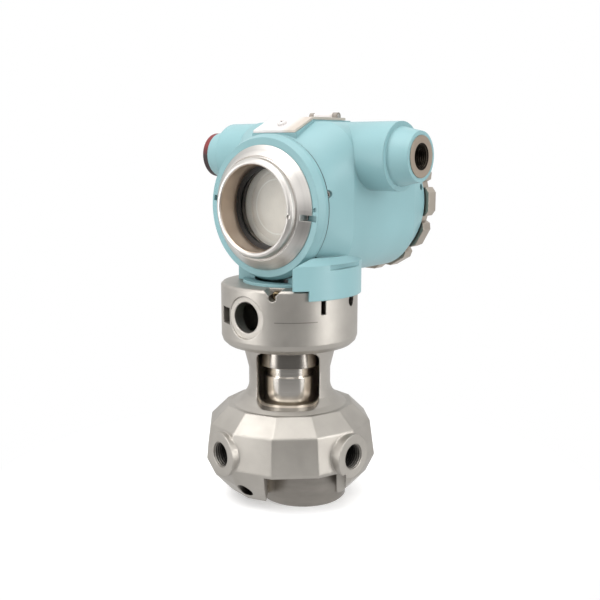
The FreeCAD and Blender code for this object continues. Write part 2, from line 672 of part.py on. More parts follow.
def make_sensor_parts():
    """What the cell holds: capsule, diaphragms, tube, nut, sensor can, header and board."""
    foot = new_body("foot_disc")
    cap = draw_out(foot, circle(sketch_on(foot, "XY_Plane"), "foot_radius", "foot_shift"), "foot_top")
    soften(foot, cap, "foot_chamfer", lambda e: e.BoundBox.ZMax < 1, kind="Chamfer")
    plug = circle(sketch_on(foot, "XY_Plane", "cell_base"), "capsule_radius")
    draw_out(foot, plug, "foot_top - cell_base")
    place(foot, turn="cell_turn")
    capsule = new_body("measuring_capsule")
    drum = circle(sketch_on(capsule, "XY_Plane", "foot_top"), "capsule_radius")
    draw_out(capsule, drum, "capsule_top - foot_top")
    for side in PORT_SIDES:
        radial_cut(capsule, side, "(capsule_top + foot_top) / 2",
                   lambda s: rectangle(s, "capsule_radius * 2", "capsule_top"),
                   "capsule_flat", "capsule_radius + 1")
    place(capsule, turn="cell_turn")
    for side, label in zip(PORT_SIDES, ("diaphragm_high", "diaphragm_low")):
        diaphragm = new_body(label)
        disc = circle(radial_sketch(diaphragm, side, "port_height", "capsule_flat"), "diaphragm_radius")
        draw_out(diaphragm, disc, "diaphragm_thickness")
        place(diaphragm, turn="cell_turn")
    waist = "nut_low - nut_groove"
    turned("sensor_tube", [
        ("tube_bore", "capsule_top"),
        ("tube_radius", "capsule_top"),
        ("tube_radius", waist),
        ("tube_radius - 2", waist),
        ("tube_radius - 2", "nut_low"),
        ("tube_radius", "nut_low"),
        ("tube_radius", "tube_top"),
        ("tube_bore", "tube_top"),
    ])
    turned("union_nut", tube("nut_radius", "tube_radius + running", "nut_low", "tube_top"))
    under = "tube_top - header_thickness"
    turned("pressure_chip", tube("chip_radius", "0", f"{under} - chip_height", under))
    turned("header", [
        ("0", under),
        ("tube_bore - running", under),
        ("tube_bore - running", "tube_top"),
        ("header_plug_radius", "tube_top"),
        ("header_plug_radius", "collar_floor"),
        ("0", "collar_floor"),
    ])
    lines = []
    for side in (-1, 1):
        line = part_cylinder("oil_line", "fill_tube_radius", f"{under} - chip_height - capsule_top")
        lines.append(place(line, x=f"{side} * fill_tube_spread", z="capsule_top"))
    fused("fill_tubes", lines)
    face = "collar_floor + board_thickness"
    turned("sensor_board", tube("sensor_board_radius", "0", "collar_floor", face))
    screws = []
    for side in (-1, 1):
        screw = part_cylinder("board_screw", "small_screw_radius", "small_screw_radius")
        screws.append(place(screw, x=f"{side} * (sensor_board_radius - board_screw_inset)", z=face))
    fused("sensor_board_screws", screws)
    lock = new_body("swivel_lock_screw")
    rod = circle(radial_sketch(lock, "-notch_angle", "collar_top - bearing_depth / 2",
                               "bearing_radius + side_clearance"), "swivel_screw_radius")
    draw_out(lock, rod, "swivel_screw_reach - bearing_radius - side_clearance")
    place(lock, turn="cell_turn")


# ---------------------------------------------------------------- housing

BOX_CORNERS = (
    ("body_half_width - upper_corner", "body_rise - upper_corner", "upper_corner"),
    ("upper_corner - body_half_width", "body_rise - upper_corner", "upper_corner"),
    ("lower_corner - body_half_width", "lower_corner - body_drop", "lower_corner"),
    ("body_half_width - lower_corner", "lower_corner - body_drop", "lower_corner"),
)
SPIGOT_SEAT = "collar_top + running"
RING_SEAT = "collar_top - bearing_depth - running"
SLOPE_ANGLE = "atan((key_rise - key_front_rise) / (key_front + key_slope_end))"
SLOPE_Y = "(key_slope_end - key_front) / 2"
SLOPE_Z = "housing_axis + (key_rise + key_front_rise) / 2"


def make_housing_casting():
    """Pedestal, barrel, flares, cable entries, spigot and key box: one casting."""
    body = new_body("housing_casting")
    add_pedestal(body)
    sections = (
        ("seam_face", "seam_radius"),
        ("-flare_end", None),
        ("-rear_flare", None),
        ("-body_rear", "rear_rim_radius"),
    )
    loft(body, [
        rounded_ring(sketch_on(body, "XZ_Plane", y, "housing_axis"), BOX_CORNERS, rim)
        for y, rim in sections
    ])
    add_entries(body)
    add_key_box(body)
    cut_compartments(body)
    cut_swivel(body)
    cut_key_recess(body)
    cut_screw_seats(body)
    return body


def add_entries(body):
    """The two cable entries: one cross piece with a thick root and a tapering boss each side."""
    half = (
        ("entry_reach", "0"),
        ("entry_reach", "entry_tip_radius"),
        ("entry_step", "entry_neck_radius"),
        ("entry_step", "entry_root_radius"),
    )
    left = [("-" + x, radius) for x, radius in half]
    sketch = sketch_on(body, "XZ_Plane", "-entry_y", "housing_axis + entry_rise")
    spin(body, outline(sketch, left + list(reversed(half))), axis="H_Axis")


def add_pedestal(body):
    """The round pedestal with its skirt over the collar, flat at the left and hollowed in front."""
    spin(body, outline(sketch_on(body, "XZ_Plane"), [
        ("0", "skirt_low"),
        ("skirt_radius", "skirt_low"),
        ("skirt_radius", "pedestal_shoulder"),
        ("skirt_radius - pedestal_cone", "pedestal_top"),
        ("0", "pedestal_top"),
    ]))
    under = circle(sketch_on(body, "XY_Plane", "skirt_low - 1"), "collar_radius + swivel_gap")
    draw_out(body, under, f"{SPIGOT_SEAT} - skirt_low + 1", cut=True, back=True)
    for side in ("", "-"):
        near, far = "10", "skirt_radius + 20"
        slant = " / tan(skirt_half_angle * 1 deg)"
        wedge = outline(sketch_on(body, "XY_Plane", "skirt_low - 1"), [
            (f"-{near}{slant}", side + near),
            (f"-({far}){slant}", f"{side}({far})"),
            (f"({far}){slant}", f"{side}({far})"),
            (near + slant, side + near),
        ])
        draw_out(body, wedge, f"{SPIGOT_SEAT} - skirt_low + 1", cut=True, back=True)
    hollow = circle(sketch_on(body, "XY_Plane", "skirt_low - 1"), "scallop_radius", "0", "-scallop_centre")
    front = "-scallop_centre + scallop_radius"
    left = outline(sketch_on(body, "XY_Plane", "skirt_low - 1"), [
        ("0", front),
        ("-pedestal_left", front),
        ("-pedestal_left", "skirt_radius + 1"),
        ("-skirt_radius - 1", "skirt_radius + 1"),
        ("-skirt_radius - 1", "-skirt_radius - 1"),
        ("0", "-skirt_radius - 1"),
    ])
    for trim in (hollow, left):
        draw_out(body, trim, "pedestal_top - skirt_low + 2", cut=True, back=True)
    room = circle(sketch_on(body, "XZ_Plane", "seam_face", "housing_axis"), "cover_relief_radius")
    draw_out(body, room, "skirt_radius", cut=True, back=True)
    ledge = rectangle(sketch_on(body, "XY_Plane", "ledge_level"),
                      "ledge_depth * 2", "ledge_length", "skirt_radius")
    draw_out(body, ledge, "ledge_height", cut=True, back=True)


def add_key_box(body):
    """The raised box that carries the keys, its sloping front and the ears of the cover's pin."""
    side = outline(sketch_on(body, "YZ_Plane", None, "housing_axis"), [
        ("-key_front", "key_front_rise - 8"),
        ("-key_front", "key_front_rise"),
        ("key_slope_end", "key_rise"),
        ("key_rear", "key_rise"),
        ("key_rear", "key_front_rise - 8"),
    ])
    draw_out(body, side, "key_half_width * 2", both=True)
    for hand in (-1, 1):
        seat = f"{hand} * (knuckle_half_length + side_clearance + ear_length / 2)"
        foot = rectangle(sketch_on(body, "YZ_Plane", f"{seat} - ear_length / 2", "housing_axis"),
                         "knuckle_radius * 2", "hinge_rise - key_rise + 1",
                         "hinge_y", "(hinge_rise + key_rise - 1) / 2")
        draw_out(body, foot, "ear_length")
        head = circle(sketch_on(body, "YZ_Plane", f"{seat} - ear_length / 2", "housing_axis"),
                      "knuckle_radius", "hinge_y", "hinge_rise")
        draw_out(body, head, "ear_length")
    pin = circle(sketch_on(body, "YZ_Plane", None, "housing_axis"),
                 "pin_radius + running", "hinge_y", "hinge_rise")
    draw_out(body, pin, "key_half_width * 2", cut=True, both=True)


def cut_compartments(body):
    """Front and rear compartments, the wall between them and the cable entry bores."""
    front = circle(sketch_on(body, "XZ_Plane", "seam_face + 1", "housing_axis"), "bore_radius")
    draw_out(body, front, "seam_face + 1 + front_depth", cut=True)
    rear = circle(sketch_on(body, "XZ_Plane", "-body_rear - 1", "housing_axis"), "bore_radius")
    draw_out(body, rear, "body_rear + 1 - front_depth - partition", cut=True, back=True)
    through = circle(sketch_on(body, "XZ_Plane", "-front_depth - partition - 1", "housing_axis"),
                     "feedthrough_radius + running")
    draw_out(body, through, "partition + 2", cut=True, back=True)
    for radius, right in (("entry_bore", False), ("entry_way_radius", True)):
        entry = circle(sketch_on(body, "YZ_Plane", None, "housing_axis + entry_rise"), radius, "entry_y")
        draw_out(body, entry, "entry_reach + 1", cut=True, back=right)
    seat = circle(sketch_on(body, "YZ_Plane", "entry_reach + insert_proud - insert_depth",
                            "housing_axis + entry_rise"), "insert_radius + running", "entry_y")
    draw_out(body, seat, "insert_depth", cut=True, back=True)


def cut_swivel(body):
    """The spigot under the pedestal, its seal groove, its bore and the wire way."""
    groove = "swivel_seal_level"
    spin(body, outline(sketch_on(body, "XZ_Plane"), [
        ("0", "spigot_low"),
        ("spigot_step", "spigot_low"),
        ("spigot_step", RING_SEAT),
        ("bearing_radius - running", RING_SEAT),
        ("bearing_radius - running", f"{groove} - seal_radius - running"),
        ("bearing_radius - seal_radius * 2 - side_clearance", f"{groove} - seal_radius - running"),
        ("bearing_radius - seal_radius * 2 - side_clearance", f"{groove} + seal_radius + running"),
        ("bearing_radius - running", f"{groove} + seal_radius + running"),
        ("bearing_radius - running", f"{SPIGOT_SEAT} + 2"),
        ("0", f"{SPIGOT_SEAT} + 2"),
    ]))
    bore = circle(sketch_on(body, "XY_Plane", "spigot_low - 1"), "spigot_bore")
    draw_out(body, bore, "spigot_ceiling - spigot_low + 1", cut=True, back=True)
    way = circle(sketch_on(body, "XY_Plane", "spigot_ceiling - 1"), "feed_radius", "0", "-feed_y")
    draw_out(body, way, "housing_axis - spigot_ceiling - bore_radius / 2", cut=True, back=True)


def cut_key_recess(body):
    """The recess for the key panel, the blind key bores and the room of the cover's screw."""
    recess = rectangle(sketch_on(body, "XY_Plane", "housing_axis + key_rise + 1"),
                       "recess_width", "recess_length", "0", "recess_centre")
    draw_out(body, recess, "recess_depth + 1", cut=True)
    for column in (-1, 0, 1):
        bore = circle(sketch_on(body, "XY_Plane", "housing_axis + key_rise"),
                      "key_radius + running", f"{column} * key_pitch", "recess_centre")
        draw_out(body, bore, "recess_depth + key_bore_depth", cut=True)
    screw = circle(free_sketch(body, "0", SLOPE_Y, SLOPE_Z, ((1, 0, 0), SLOPE_ANGLE)),
                   "lid_screw_shank + lid_screw_room")
    draw_out(body, screw, "lid_screw_tip * 2", cut=True)


def lock_screw_sketch(body, y, inset):
    """A sketch square to the lock screws' radius, at a distance from the display axis."""
    angle = "lock_screw_angle"
    return free_sketch(
        body, f"({inset}) * cos({angle} * 1 deg)", y, f"housing_axis + ({inset}) * sin({angle} * 1 deg)",
        ((0, 1, 0), f"90 - {angle}"),
    )


LOCK_SEATS = (
    ("front_lock_screw", "front_lock_inset - seam_face"),
    ("rear_lock_screw", "body_rear - lock_screw_inset"),
)


def cut_screw_seats(body):
    """Tappings of the cover lock screws and of both ground screws."""
    for _, y in LOCK_SEATS:
        tapping = circle(lock_screw_sketch(body, y, "rear_rim_radius + 8"), "lock_screw_radius + running")
        draw_out(body, tapping, "rear_rim_radius + 8 - bore_radius + 1", cut=True)
    for radius, depth in (("ground_spot_radius", "0"), ("ground_shank + running", "ground_length")):
        spot = circle(sketch_on(body, "YZ_Plane", "-body_half_width - 1", "ground_height"),
                      radius, "ground_y")
        draw_out(body, spot, f"ground_spot_depth + 1 + {depth}", cut=True, back=True)
    wall = sketch_on(body, "XZ_Plane", "-front_depth - partition - 1", "housing_axis + inner_ground_rise")
    inner = circle(wall, "ground_shank + running")
    draw_out(body, inner, "partition / 2 + 1", cut=True, back=True)


# ---------------------------------------------------------------- pieces on and in the housing


def seal(label, centre, seat):
    """A round-section ring about the seat's axis."""
    ring = doc.addObject("Part::Torus", label)
    tie(ring, "Radius1", centre)
    tie(ring, "Radius2", "seal_radius")
    return piece(place(ring, **seat), label)


def disc_with_flat(label, radius, low, high, flat, seat):
    """A disc whose one side is cut flat, against the local Y axis."""
    body = new_body(label)
    draw_out(body, circle(sketch_on(body, "XY_Plane", low), radius), f"({high}) - ({low})")
    trim = rectangle(sketch_on(body, "XY_Plane", low),
                     f"({radius}) * 2 + 2", radius, "0", f"-({flat}) - ({radius}) / 2")
    draw_out(body, trim, f"({high}) - ({low})", cut=True, back=True)
    return place(body, **seat)


def make_swivel_parts():
    """Retaining ring, swivel seal and the ribbon cable that runs up the spigot."""
    turned("retaining_ring", tube("ring_radius", "spigot_step + running",
                                  f"{RING_SEAT} - ring_thickness", RING_SEAT))
    seal("swivel_seal", "bearing_radius - running - seal_radius", {"z": "swivel_seal_level"})
    low = "collar_floor + board_thickness + side_clearance"
    strip = doc.addObject("Part::Box", "strip")
    tie(strip, "Length", "ribbon_width")
    tie(strip, "Width", "ribbon_thickness")
    tie(strip, "Height", f"housing_axis - electronics_flat - ({low} + ribbon_plug_height)")
    place(strip, x="-ribbon_width / 2", y="-ribbon_thickness / 2", z=f"{low} + ribbon_plug_height")
    plug = part_cylinder("plug", "ribbon_width / 2 + 2", "ribbon_plug_height")
    place(plug, z=low)
    cable = doc.addObject("Part::Fuse", "ribbon_cable")
    cable.Base = strip
    cable.Tool = plug
    piece(cable, "ribbon_cable")


def make_insert():
    """The bare thread insert of the right-hand cable entry."""
    turned("thread_insert", tube("insert_radius", "entry_bore", "0", "insert_depth"),
           x="entry_reach + insert_proud - insert_depth", y="entry_y", z="housing_axis + entry_rise",
           axis=(0, 1, 0), turn="90")


def make_electronics():
    """Front compartment: module, main board, display, its ring and screws."""
    board = "display_back - board_thickness"
    flat = "electronics_flat"
    disc_with_flat("electronics_module", "electronics_radius", "-front_depth", board, flat, FRONT)
    disc_with_flat("main_board", "main_board_radius", board, "display_back", flat, FRONT)
    turned("display_module", tube("display_radius", "0", "display_back", "module_face"), **FRONT)
    turned("display_screen", tube("screen_radius", "0", "module_face", "screen_face"), **FRONT)
    rim = tube("screen_ring_radius", "screen_radius + running", "module_face", "display_face")
    turned("display_ring", rim, **FRONT)
    screws = []
    for angle in (90, 210, 330):
        screw = part_cylinder("display_screw", "small_screw_radius", "display_face - module_face")
        screws.append(place(
            screw, x=f"small_screw_circle * cos({angle} deg)", y="-module_face",
            z=f"housing_axis + small_screw_circle * sin({angle} deg)", axis=(1, 0, 0), turn="90",
        ))
    fused("display_screws", screws)


def make_terminals():
    """Rear compartment: feedthrough, terminal block with its screws, inner ground screw."""
    floor = "front_depth + partition"
    face = f"{floor} + terminal_depth"
    turned("feedthrough", tube("feedthrough_radius", "0", "front_depth", floor), **REAR)
    disc_with_flat("terminal_block", "terminal_radius", floor, face, "terminal_flat", REAR)
    screws = []
    for column in (-1, 0, 1):
        screw = part_cylinder("terminal_screw", "terminal_screw_radius", "small_screw_radius")
        screws.append(place(
            screw, x=f"{column} * terminal_pitch", y=face, z="housing_axis",
            axis=(1, 0, 0), turn="-90",
        ))
    fused("terminal_screws", screws)
    turned("inner_ground_screw", [
        ("0", f"{floor} - partition / 2"),
        ("ground_shank", f"{floor} - partition / 2"),
        ("ground_shank", floor),
        ("ground_radius", floor),
        ("ground_radius", f"{floor} + ground_head"),
        ("0", f"{floor} + ground_head"),
    ], z="housing_axis + inner_ground_rise", axis=(1, 0, 0), turn="-90")


def make_outer_screws():
    """Cover lock screws and the outer ground screw with its clamp washer."""
    for label, y in LOCK_SEATS:
        screw = new_body(label)
        rod = circle(lock_screw_sketch(screw, y, "bore_radius + side_clearance"), "lock_screw_radius")
        draw_out(screw, rod, "lock_screw_length")
    seat = {"x": "ground_spot_depth - body_half_width", "y": "ground_y", "z": "ground_height"}
    seat.update(axis=(0, 1, 0), turn="-90")
    turned("ground_clamp", tube("clamp_radius", "ground_shank + running", "0", "clamp_thickness"), **seat)
    turned("ground_screw", [
        ("0", "-ground_length"),
        ("ground_shank", "-ground_length"),
        ("ground_shank", "clamp_thickness"),
        ("ground_radius", "clamp_thickness"),
        ("ground_radius", "clamp_thickness + ground_head"),
        ("0", "clamp_thickness + ground_head"),
    ], **seat)


# ---------------------------------------------------------------- covers


def cut_spanner_slots(body):
    """The two slots that run from the bezel's flange into the painted face."""
    reach = "(bezel_slot_outer + bezel_slot_inner) / 2"
    sketch = free_sketch(body, "0", "0", "cover_face - bezel_slot_depth", ((0, 0, 1), "bezel_slot_angle"))
    for side in ("", "-"):
        rectangle(sketch, "bezel_slot_outer - bezel_slot_inner", "bezel_slot_width", side + reach)
    draw_out(body, sketch, "bezel_slot_depth + bezel_front - cover_face", cut=True, back=True)


def cut_pit(body, radius, reach, angle, face):
    """A small round pit in a cover's face."""
    spot = circle(sketch_on(body, "XY_Plane", f"{face} - pit_depth"), radius,
                  f"{reach} * cos({angle} * 1 deg)", f"{reach} * sin({angle} * 1 deg)")
    draw_out(body, spot, "pit_depth + 2", cut=True, back=True)


def make_front_cover():
    """The painted window cover with its threaded skirt, seal, bezel, gasket and glass."""
    seam = "seam_face + seam_gap"
    skirt = "bore_radius - thread_clearance"
    back = "bezel_back - gasket_thickness - glass_thickness"
    groove = f"{seam} - seal_radius - 1"
    cover = turned("front_cover", [
        (f"{skirt} - cover_wall", "cover_end"),
        (skirt, "cover_end"),
        (skirt, f"{groove} - seal_radius - running"),
        (f"{skirt} - seal_radius * 2 - side_clearance", f"{groove} - seal_radius - running"),
        (f"{skirt} - seal_radius * 2 - side_clearance", f"{groove} + seal_radius + running"),
        (skirt, f"{groove} + seal_radius + running"),
        (skirt, seam),
        ("cover_radius", seam),
        ("cover_radius", "cover_shoulder"),
        ("cover_rim_radius", "cover_face"),
        ("bezel_thread + running", "cover_face"),
        ("bezel_thread + running", "bezel_back"),
        ("glass_radius + running", "bezel_back"),
        ("glass_radius + running", back),
        ("glass_seat", back),
        ("glass_seat", f"{back} - seat_thickness"),
        (f"{skirt} - cover_wall", f"{back} - seat_thickness"),
    ], **FRONT)
    cut_spanner_slots(cover)
    cut_pit(cover, "cover_pit_radius", "cover_pit_circle", "cover_pit_angle", "cover_face")
    travel_seat = {"y": f"-({groove})", "z": "housing_axis", "axis": (1, 0, 0), "turn": "90"}
    seal("front_cover_seal", "bore_radius - thread_clearance - seal_radius", travel_seat)
    make_bezel()
    face = "bezel_back - gasket_thickness"
    turned("window_gasket", tube("glass_radius", "gasket_bore", face, "bezel_back"), **FRONT)
    turned("window_glass", tube("glass_radius", "0", back, face), **FRONT)


def make_bezel():
    """The bare screwed ring that holds the glass, with two spanner slots."""
    bezel = turned("front_bezel", [
        ("opening_radius", "bezel_back"),
        ("bezel_thread", "bezel_back"),
        ("bezel_thread", "cover_face"),
        ("bezel_radius", "cover_face"),
        ("bezel_radius", "cover_face + 0.8"),
        ("bezel_groove_radius + 1.2", "bezel_front - 5.2"),
        ("bezel_groove_radius + 0.6", "bezel_front - 6.2"),
        ("bezel_groove_radius - 0.4", "bezel_front - 5.6"),
        ("bezel_groove_radius - 0.8", "bezel_front - 2.2"),
        ("opening_radius + 3.4", "bezel_front - 0.7"),
        ("opening_radius + 2", "bezel_front"),
        ("opening_radius + 0.8", "bezel_front - 0.2"),
        ("opening_radius", "bezel_front - 1.2"),
    ], **FRONT)
    cut_spanner_slots(bezel)
    cut_pit(bezel, "bezel_pit_radius", "bezel_pit_circle", "bezel_slot_angle", "bezel_front - 0.4")


def make_rear_cover():
    """The bare rear cover: threaded skirt, dished face and grip lobes."""
    seam = "body_rear + seam_gap"
    skirt = "bore_radius - thread_clearance"
    top = f"{seam} + rear_cover_depth"
    groove = f"{seam} - seal_radius - 1"
    cover = turned("rear_cover", [
        ("0", f"{seam} + 3"),
        (f"{skirt} - cover_wall", f"{seam} + 3"),
        (f"{skirt} - cover_wall", f"{seam} - rear_thread_length"),
        (skirt, f"{seam} - rear_thread_length"),
        (skirt, f"{groove} - seal_radius - running"),
        (f"{skirt} - seal_radius * 2 - side_clearance", f"{groove} - seal_radius - running"),
        (f"{skirt} - seal_radius * 2 - side_clearance", f"{groove} + seal_radius + running"),
        (skirt, f"{groove} + seal_radius + running"),
        (skirt, seam),
        ("rear_cover_radius", seam),
        ("rear_cover_radius", f"{top} - 1.5"),
        ("rear_cover_radius - 1.5", top),
        ("rear_cover_radius - 10", top),
        ("rear_cover_radius - 13", f"{top} - rear_cover_dish"),
        ("0", f"{top} - rear_cover_dish"),
    ], **REAR)
    lobe = outline(sketch_on(cover, "XY_Plane", seam), [
        ("rear_cover_radius - 5", "-rear_lobe_width / 2"),
        ("rear_lobe_radius - 3", "-rear_lobe_width / 2"),
        ("rear_lobe_radius", "-rear_lobe_width / 2 + 4"),
        ("rear_lobe_radius", "rear_lobe_width / 2 - 4"),
        ("rear_lobe_radius - 3", "rear_lobe_width / 2"),
        ("rear_cover_radius - 5", "rear_lobe_width / 2"),
    ])
    grip = draw_out(cover, lobe, "rear_cover_depth - 1.5")
    lobes = cover.newObject("PartDesign::PolarPattern", "rear_cover_lobes")
    lobes.Originals = [grip]
    lobes.Axis = (lobe, ["N_Axis"])
    lobes.Angle = 360
    tie(lobes, "Occurrences", "rear_lobe_count")
    cover.Tip = lobes
    travel_seat = {"y": groove, "z": "housing_axis", "axis": (1, 0, 0), "turn": "-90"}
    seal("rear_cover_seal", "bore_radius - thread_clearance - seal_radius", travel_seat)


# ---------------------------------------------------------------- keys, key cover, dust plug


def make_keys():
    """The key panel in its recess and the three keys that slide through it."""
    panel = new_body("key_panel")
    floor = "housing_axis + key_rise - recess_depth"
    plate = sketch_on(panel, "XY_Plane", floor)
    rectangle(plate, "recess_width - running * 2", "recess_length - running * 2", "0", "recess_centre")
    draw_out(panel, plate, "key_panel_thickness")
    for column in (-1, 0, 1):
        hole = circle(sketch_on(panel, "XY_Plane", floor), "key_radius + running",
                      f"{column} * key_pitch", "recess_centre")
        draw_out(panel, hole, "key_panel_thickness", cut=True, back=True)
        turned(f"key_{column + 2}", [
            ("0", "0"),
            ("key_radius", "0"),
            ("key_radius", "key_height - 0.5"),
            ("key_radius - 0.5", "key_height"),
            ("0", "key_height"),
        ], x=f"{column} * key_pitch", y="recess_centre",
            z=f"{floor} + key_panel_thickness + key_travel + side_clearance - key_height")


def make_key_cover():
    """The hinged cover of the key box, its screw and its pin."""
    lid = new_body("key_cover")
    low, high = "lid_gap", "(lid_gap + lid_thickness)"
    side = outline(sketch_on(lid, "YZ_Plane", None, "housing_axis"), [
        ("-key_front", f"key_front_rise + {low}"),
        ("key_slope_end", f"key_rise + {low}"),
        ("hinge_y", f"key_rise + {low}"),
        ("hinge_y", f"key_rise + {high}"),
        ("key_slope_end", f"key_rise + {high}"),
        ("-key_front", f"key_front_rise + {high}"),
    ])
    draw_out(lid, side, "lid_half_width * 2", both=True)
    knuckle = circle(sketch_on(lid, "YZ_Plane", None, "housing_axis"),
                     "knuckle_radius", "hinge_y", "hinge_rise")
    draw_out(lid, knuckle, "knuckle_half_length * 2", both=True)
    bore = circle(sketch_on(lid, "YZ_Plane", None, "housing_axis"),
                  "pin_radius + running", "hinge_y", "hinge_rise")
    draw_out(lid, bore, "knuckle_half_length * 2 + 2", cut=True, both=True)
    room = "ear_length + side_clearance * 2"
    for hand in (-1, 1):
        notch = rectangle(
            sketch_on(lid, "XY_Plane", "housing_axis + key_rise - 1"),
            room, "knuckle_radius * 2 + side_clearance * 2",
            f"{hand} * (knuckle_half_length + ({room}) / 2)", "hinge_y",
        )
        draw_out(lid, notch, "lid_gap + lid_thickness + 2", cut=True, back=True)
    hole = circle(free_sketch(lid, "0", SLOPE_Y, SLOPE_Z, ((1, 0, 0), SLOPE_ANGLE)),
                  "lid_screw_shank + running")
    draw_out(lid, hole, "lid_thickness * 4", cut=True, both=True)
    face = f"{high} * cos({SLOPE_ANGLE})"
    turned("key_cover_screw", [
        ("0", f"{low} * cos({SLOPE_ANGLE}) - lid_screw_tip"),
        ("lid_screw_shank", f"{low} * cos({SLOPE_ANGLE}) - lid_screw_tip"),
        ("lid_screw_shank", face),
        ("lid_screw_radius", face),
        ("lid_screw_radius", f"{face} + lid_screw_height"),
        ("0", f"{face} + lid_screw_height"),
    ], y=SLOPE_Y, z=SLOPE_Z, axis=(1, 0, 0), turn=SLOPE_ANGLE)
    pin_end = "knuckle_half_length + side_clearance + ear_length"
    pin = part_cylinder("pin", "pin_radius", f"({pin_end}) * 2")
    place(pin, x=f"-({pin_end})", y="hinge_y", z="housing_axis + hinge_rise", axis=(0, 1, 0), turn="90")
    piece(pin, "hinge_pin")


def make_dust_plug():
    """The hollow plug that closes the left-hand cable entry."""
    shank = "entry_bore - thread_clearance"
    turned("dust_plug", [
        ("0", "plug_wall - plug_length"),
        ("0", "-plug_length"),
        (shank, "-plug_length"),
        (shank, "running"),
        ("plug_radius", "running"),
        ("plug_radius", "plug_flange - 1"),
        ("plug_radius - 1", "plug_flange"),
        (f"{shank} - plug_wall", "plug_flange"),
        (f"{shank} - plug_wall", "plug_wall - plug_length"),
    ], x="-entry_reach", y="entry_y", z="housing_axis + entry_rise", axis=(0, 1, 0), turn="-90")


# ---------------------------------------------------------------- check and export


def check_and_write():
    """Stop on any failed feature, then write one STEP file for each piece."""
    doc.recompute()
    for item in doc.Objects:
        if any(flag in item.State for flag in ("Invalid", "Error")):
            raise RuntimeError(f"{item.Name} ({item.Label}) failed: {item.State}")
    os.makedirs("parts", exist_ok=True)
    for thing in PIECES:
        shape = thing.Shape
        if shape.isNull() or not shape.isValid():
            raise RuntimeError(f"{thing.Label} has no valid shape")
        shape.exportStep(f"parts/{thing.Label}.step")
        print(f"{thing.Label}: {len(shape.Solids)} solids, {shape.Volume:.0f} mm3")


make_cell_casting()
make_sensor_parts()
make_housing_casting()
make_swivel_parts()
make_insert()
make_electronics()
make_terminals()
make_outer_screws()
make_front_cover()
make_rear_cover()
make_keys()
make_key_cover()
make_dust_plug()
check_and_write()
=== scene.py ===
"""Looks of a differential pressure transmitter: finishes, fittings, floor, light and camera."""

import json
import logging
import math
from dataclasses import dataclass
from enum import Enum
from typing import Sequence

import bmesh
import bpy
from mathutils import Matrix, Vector


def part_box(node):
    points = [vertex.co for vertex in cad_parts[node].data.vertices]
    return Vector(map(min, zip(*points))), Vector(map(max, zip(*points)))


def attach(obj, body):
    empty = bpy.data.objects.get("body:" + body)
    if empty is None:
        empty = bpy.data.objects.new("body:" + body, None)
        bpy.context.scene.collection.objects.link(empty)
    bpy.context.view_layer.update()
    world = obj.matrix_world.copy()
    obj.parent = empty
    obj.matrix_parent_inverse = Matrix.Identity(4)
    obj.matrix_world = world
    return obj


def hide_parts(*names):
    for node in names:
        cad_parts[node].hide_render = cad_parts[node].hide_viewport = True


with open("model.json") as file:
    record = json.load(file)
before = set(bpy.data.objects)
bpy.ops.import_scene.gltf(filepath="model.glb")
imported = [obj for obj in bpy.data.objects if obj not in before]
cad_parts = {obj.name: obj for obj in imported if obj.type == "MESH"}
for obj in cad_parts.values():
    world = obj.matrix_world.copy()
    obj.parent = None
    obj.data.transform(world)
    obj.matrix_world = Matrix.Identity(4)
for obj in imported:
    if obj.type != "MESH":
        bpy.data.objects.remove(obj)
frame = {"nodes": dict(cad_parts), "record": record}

LOG = logging.getLogger("transmitter")
Colour = tuple[float, float, float]
Point = tuple[float, float, float]
Socket = bpy.types.NodeSocket


# ---------------------------------------------------------------- node graphs


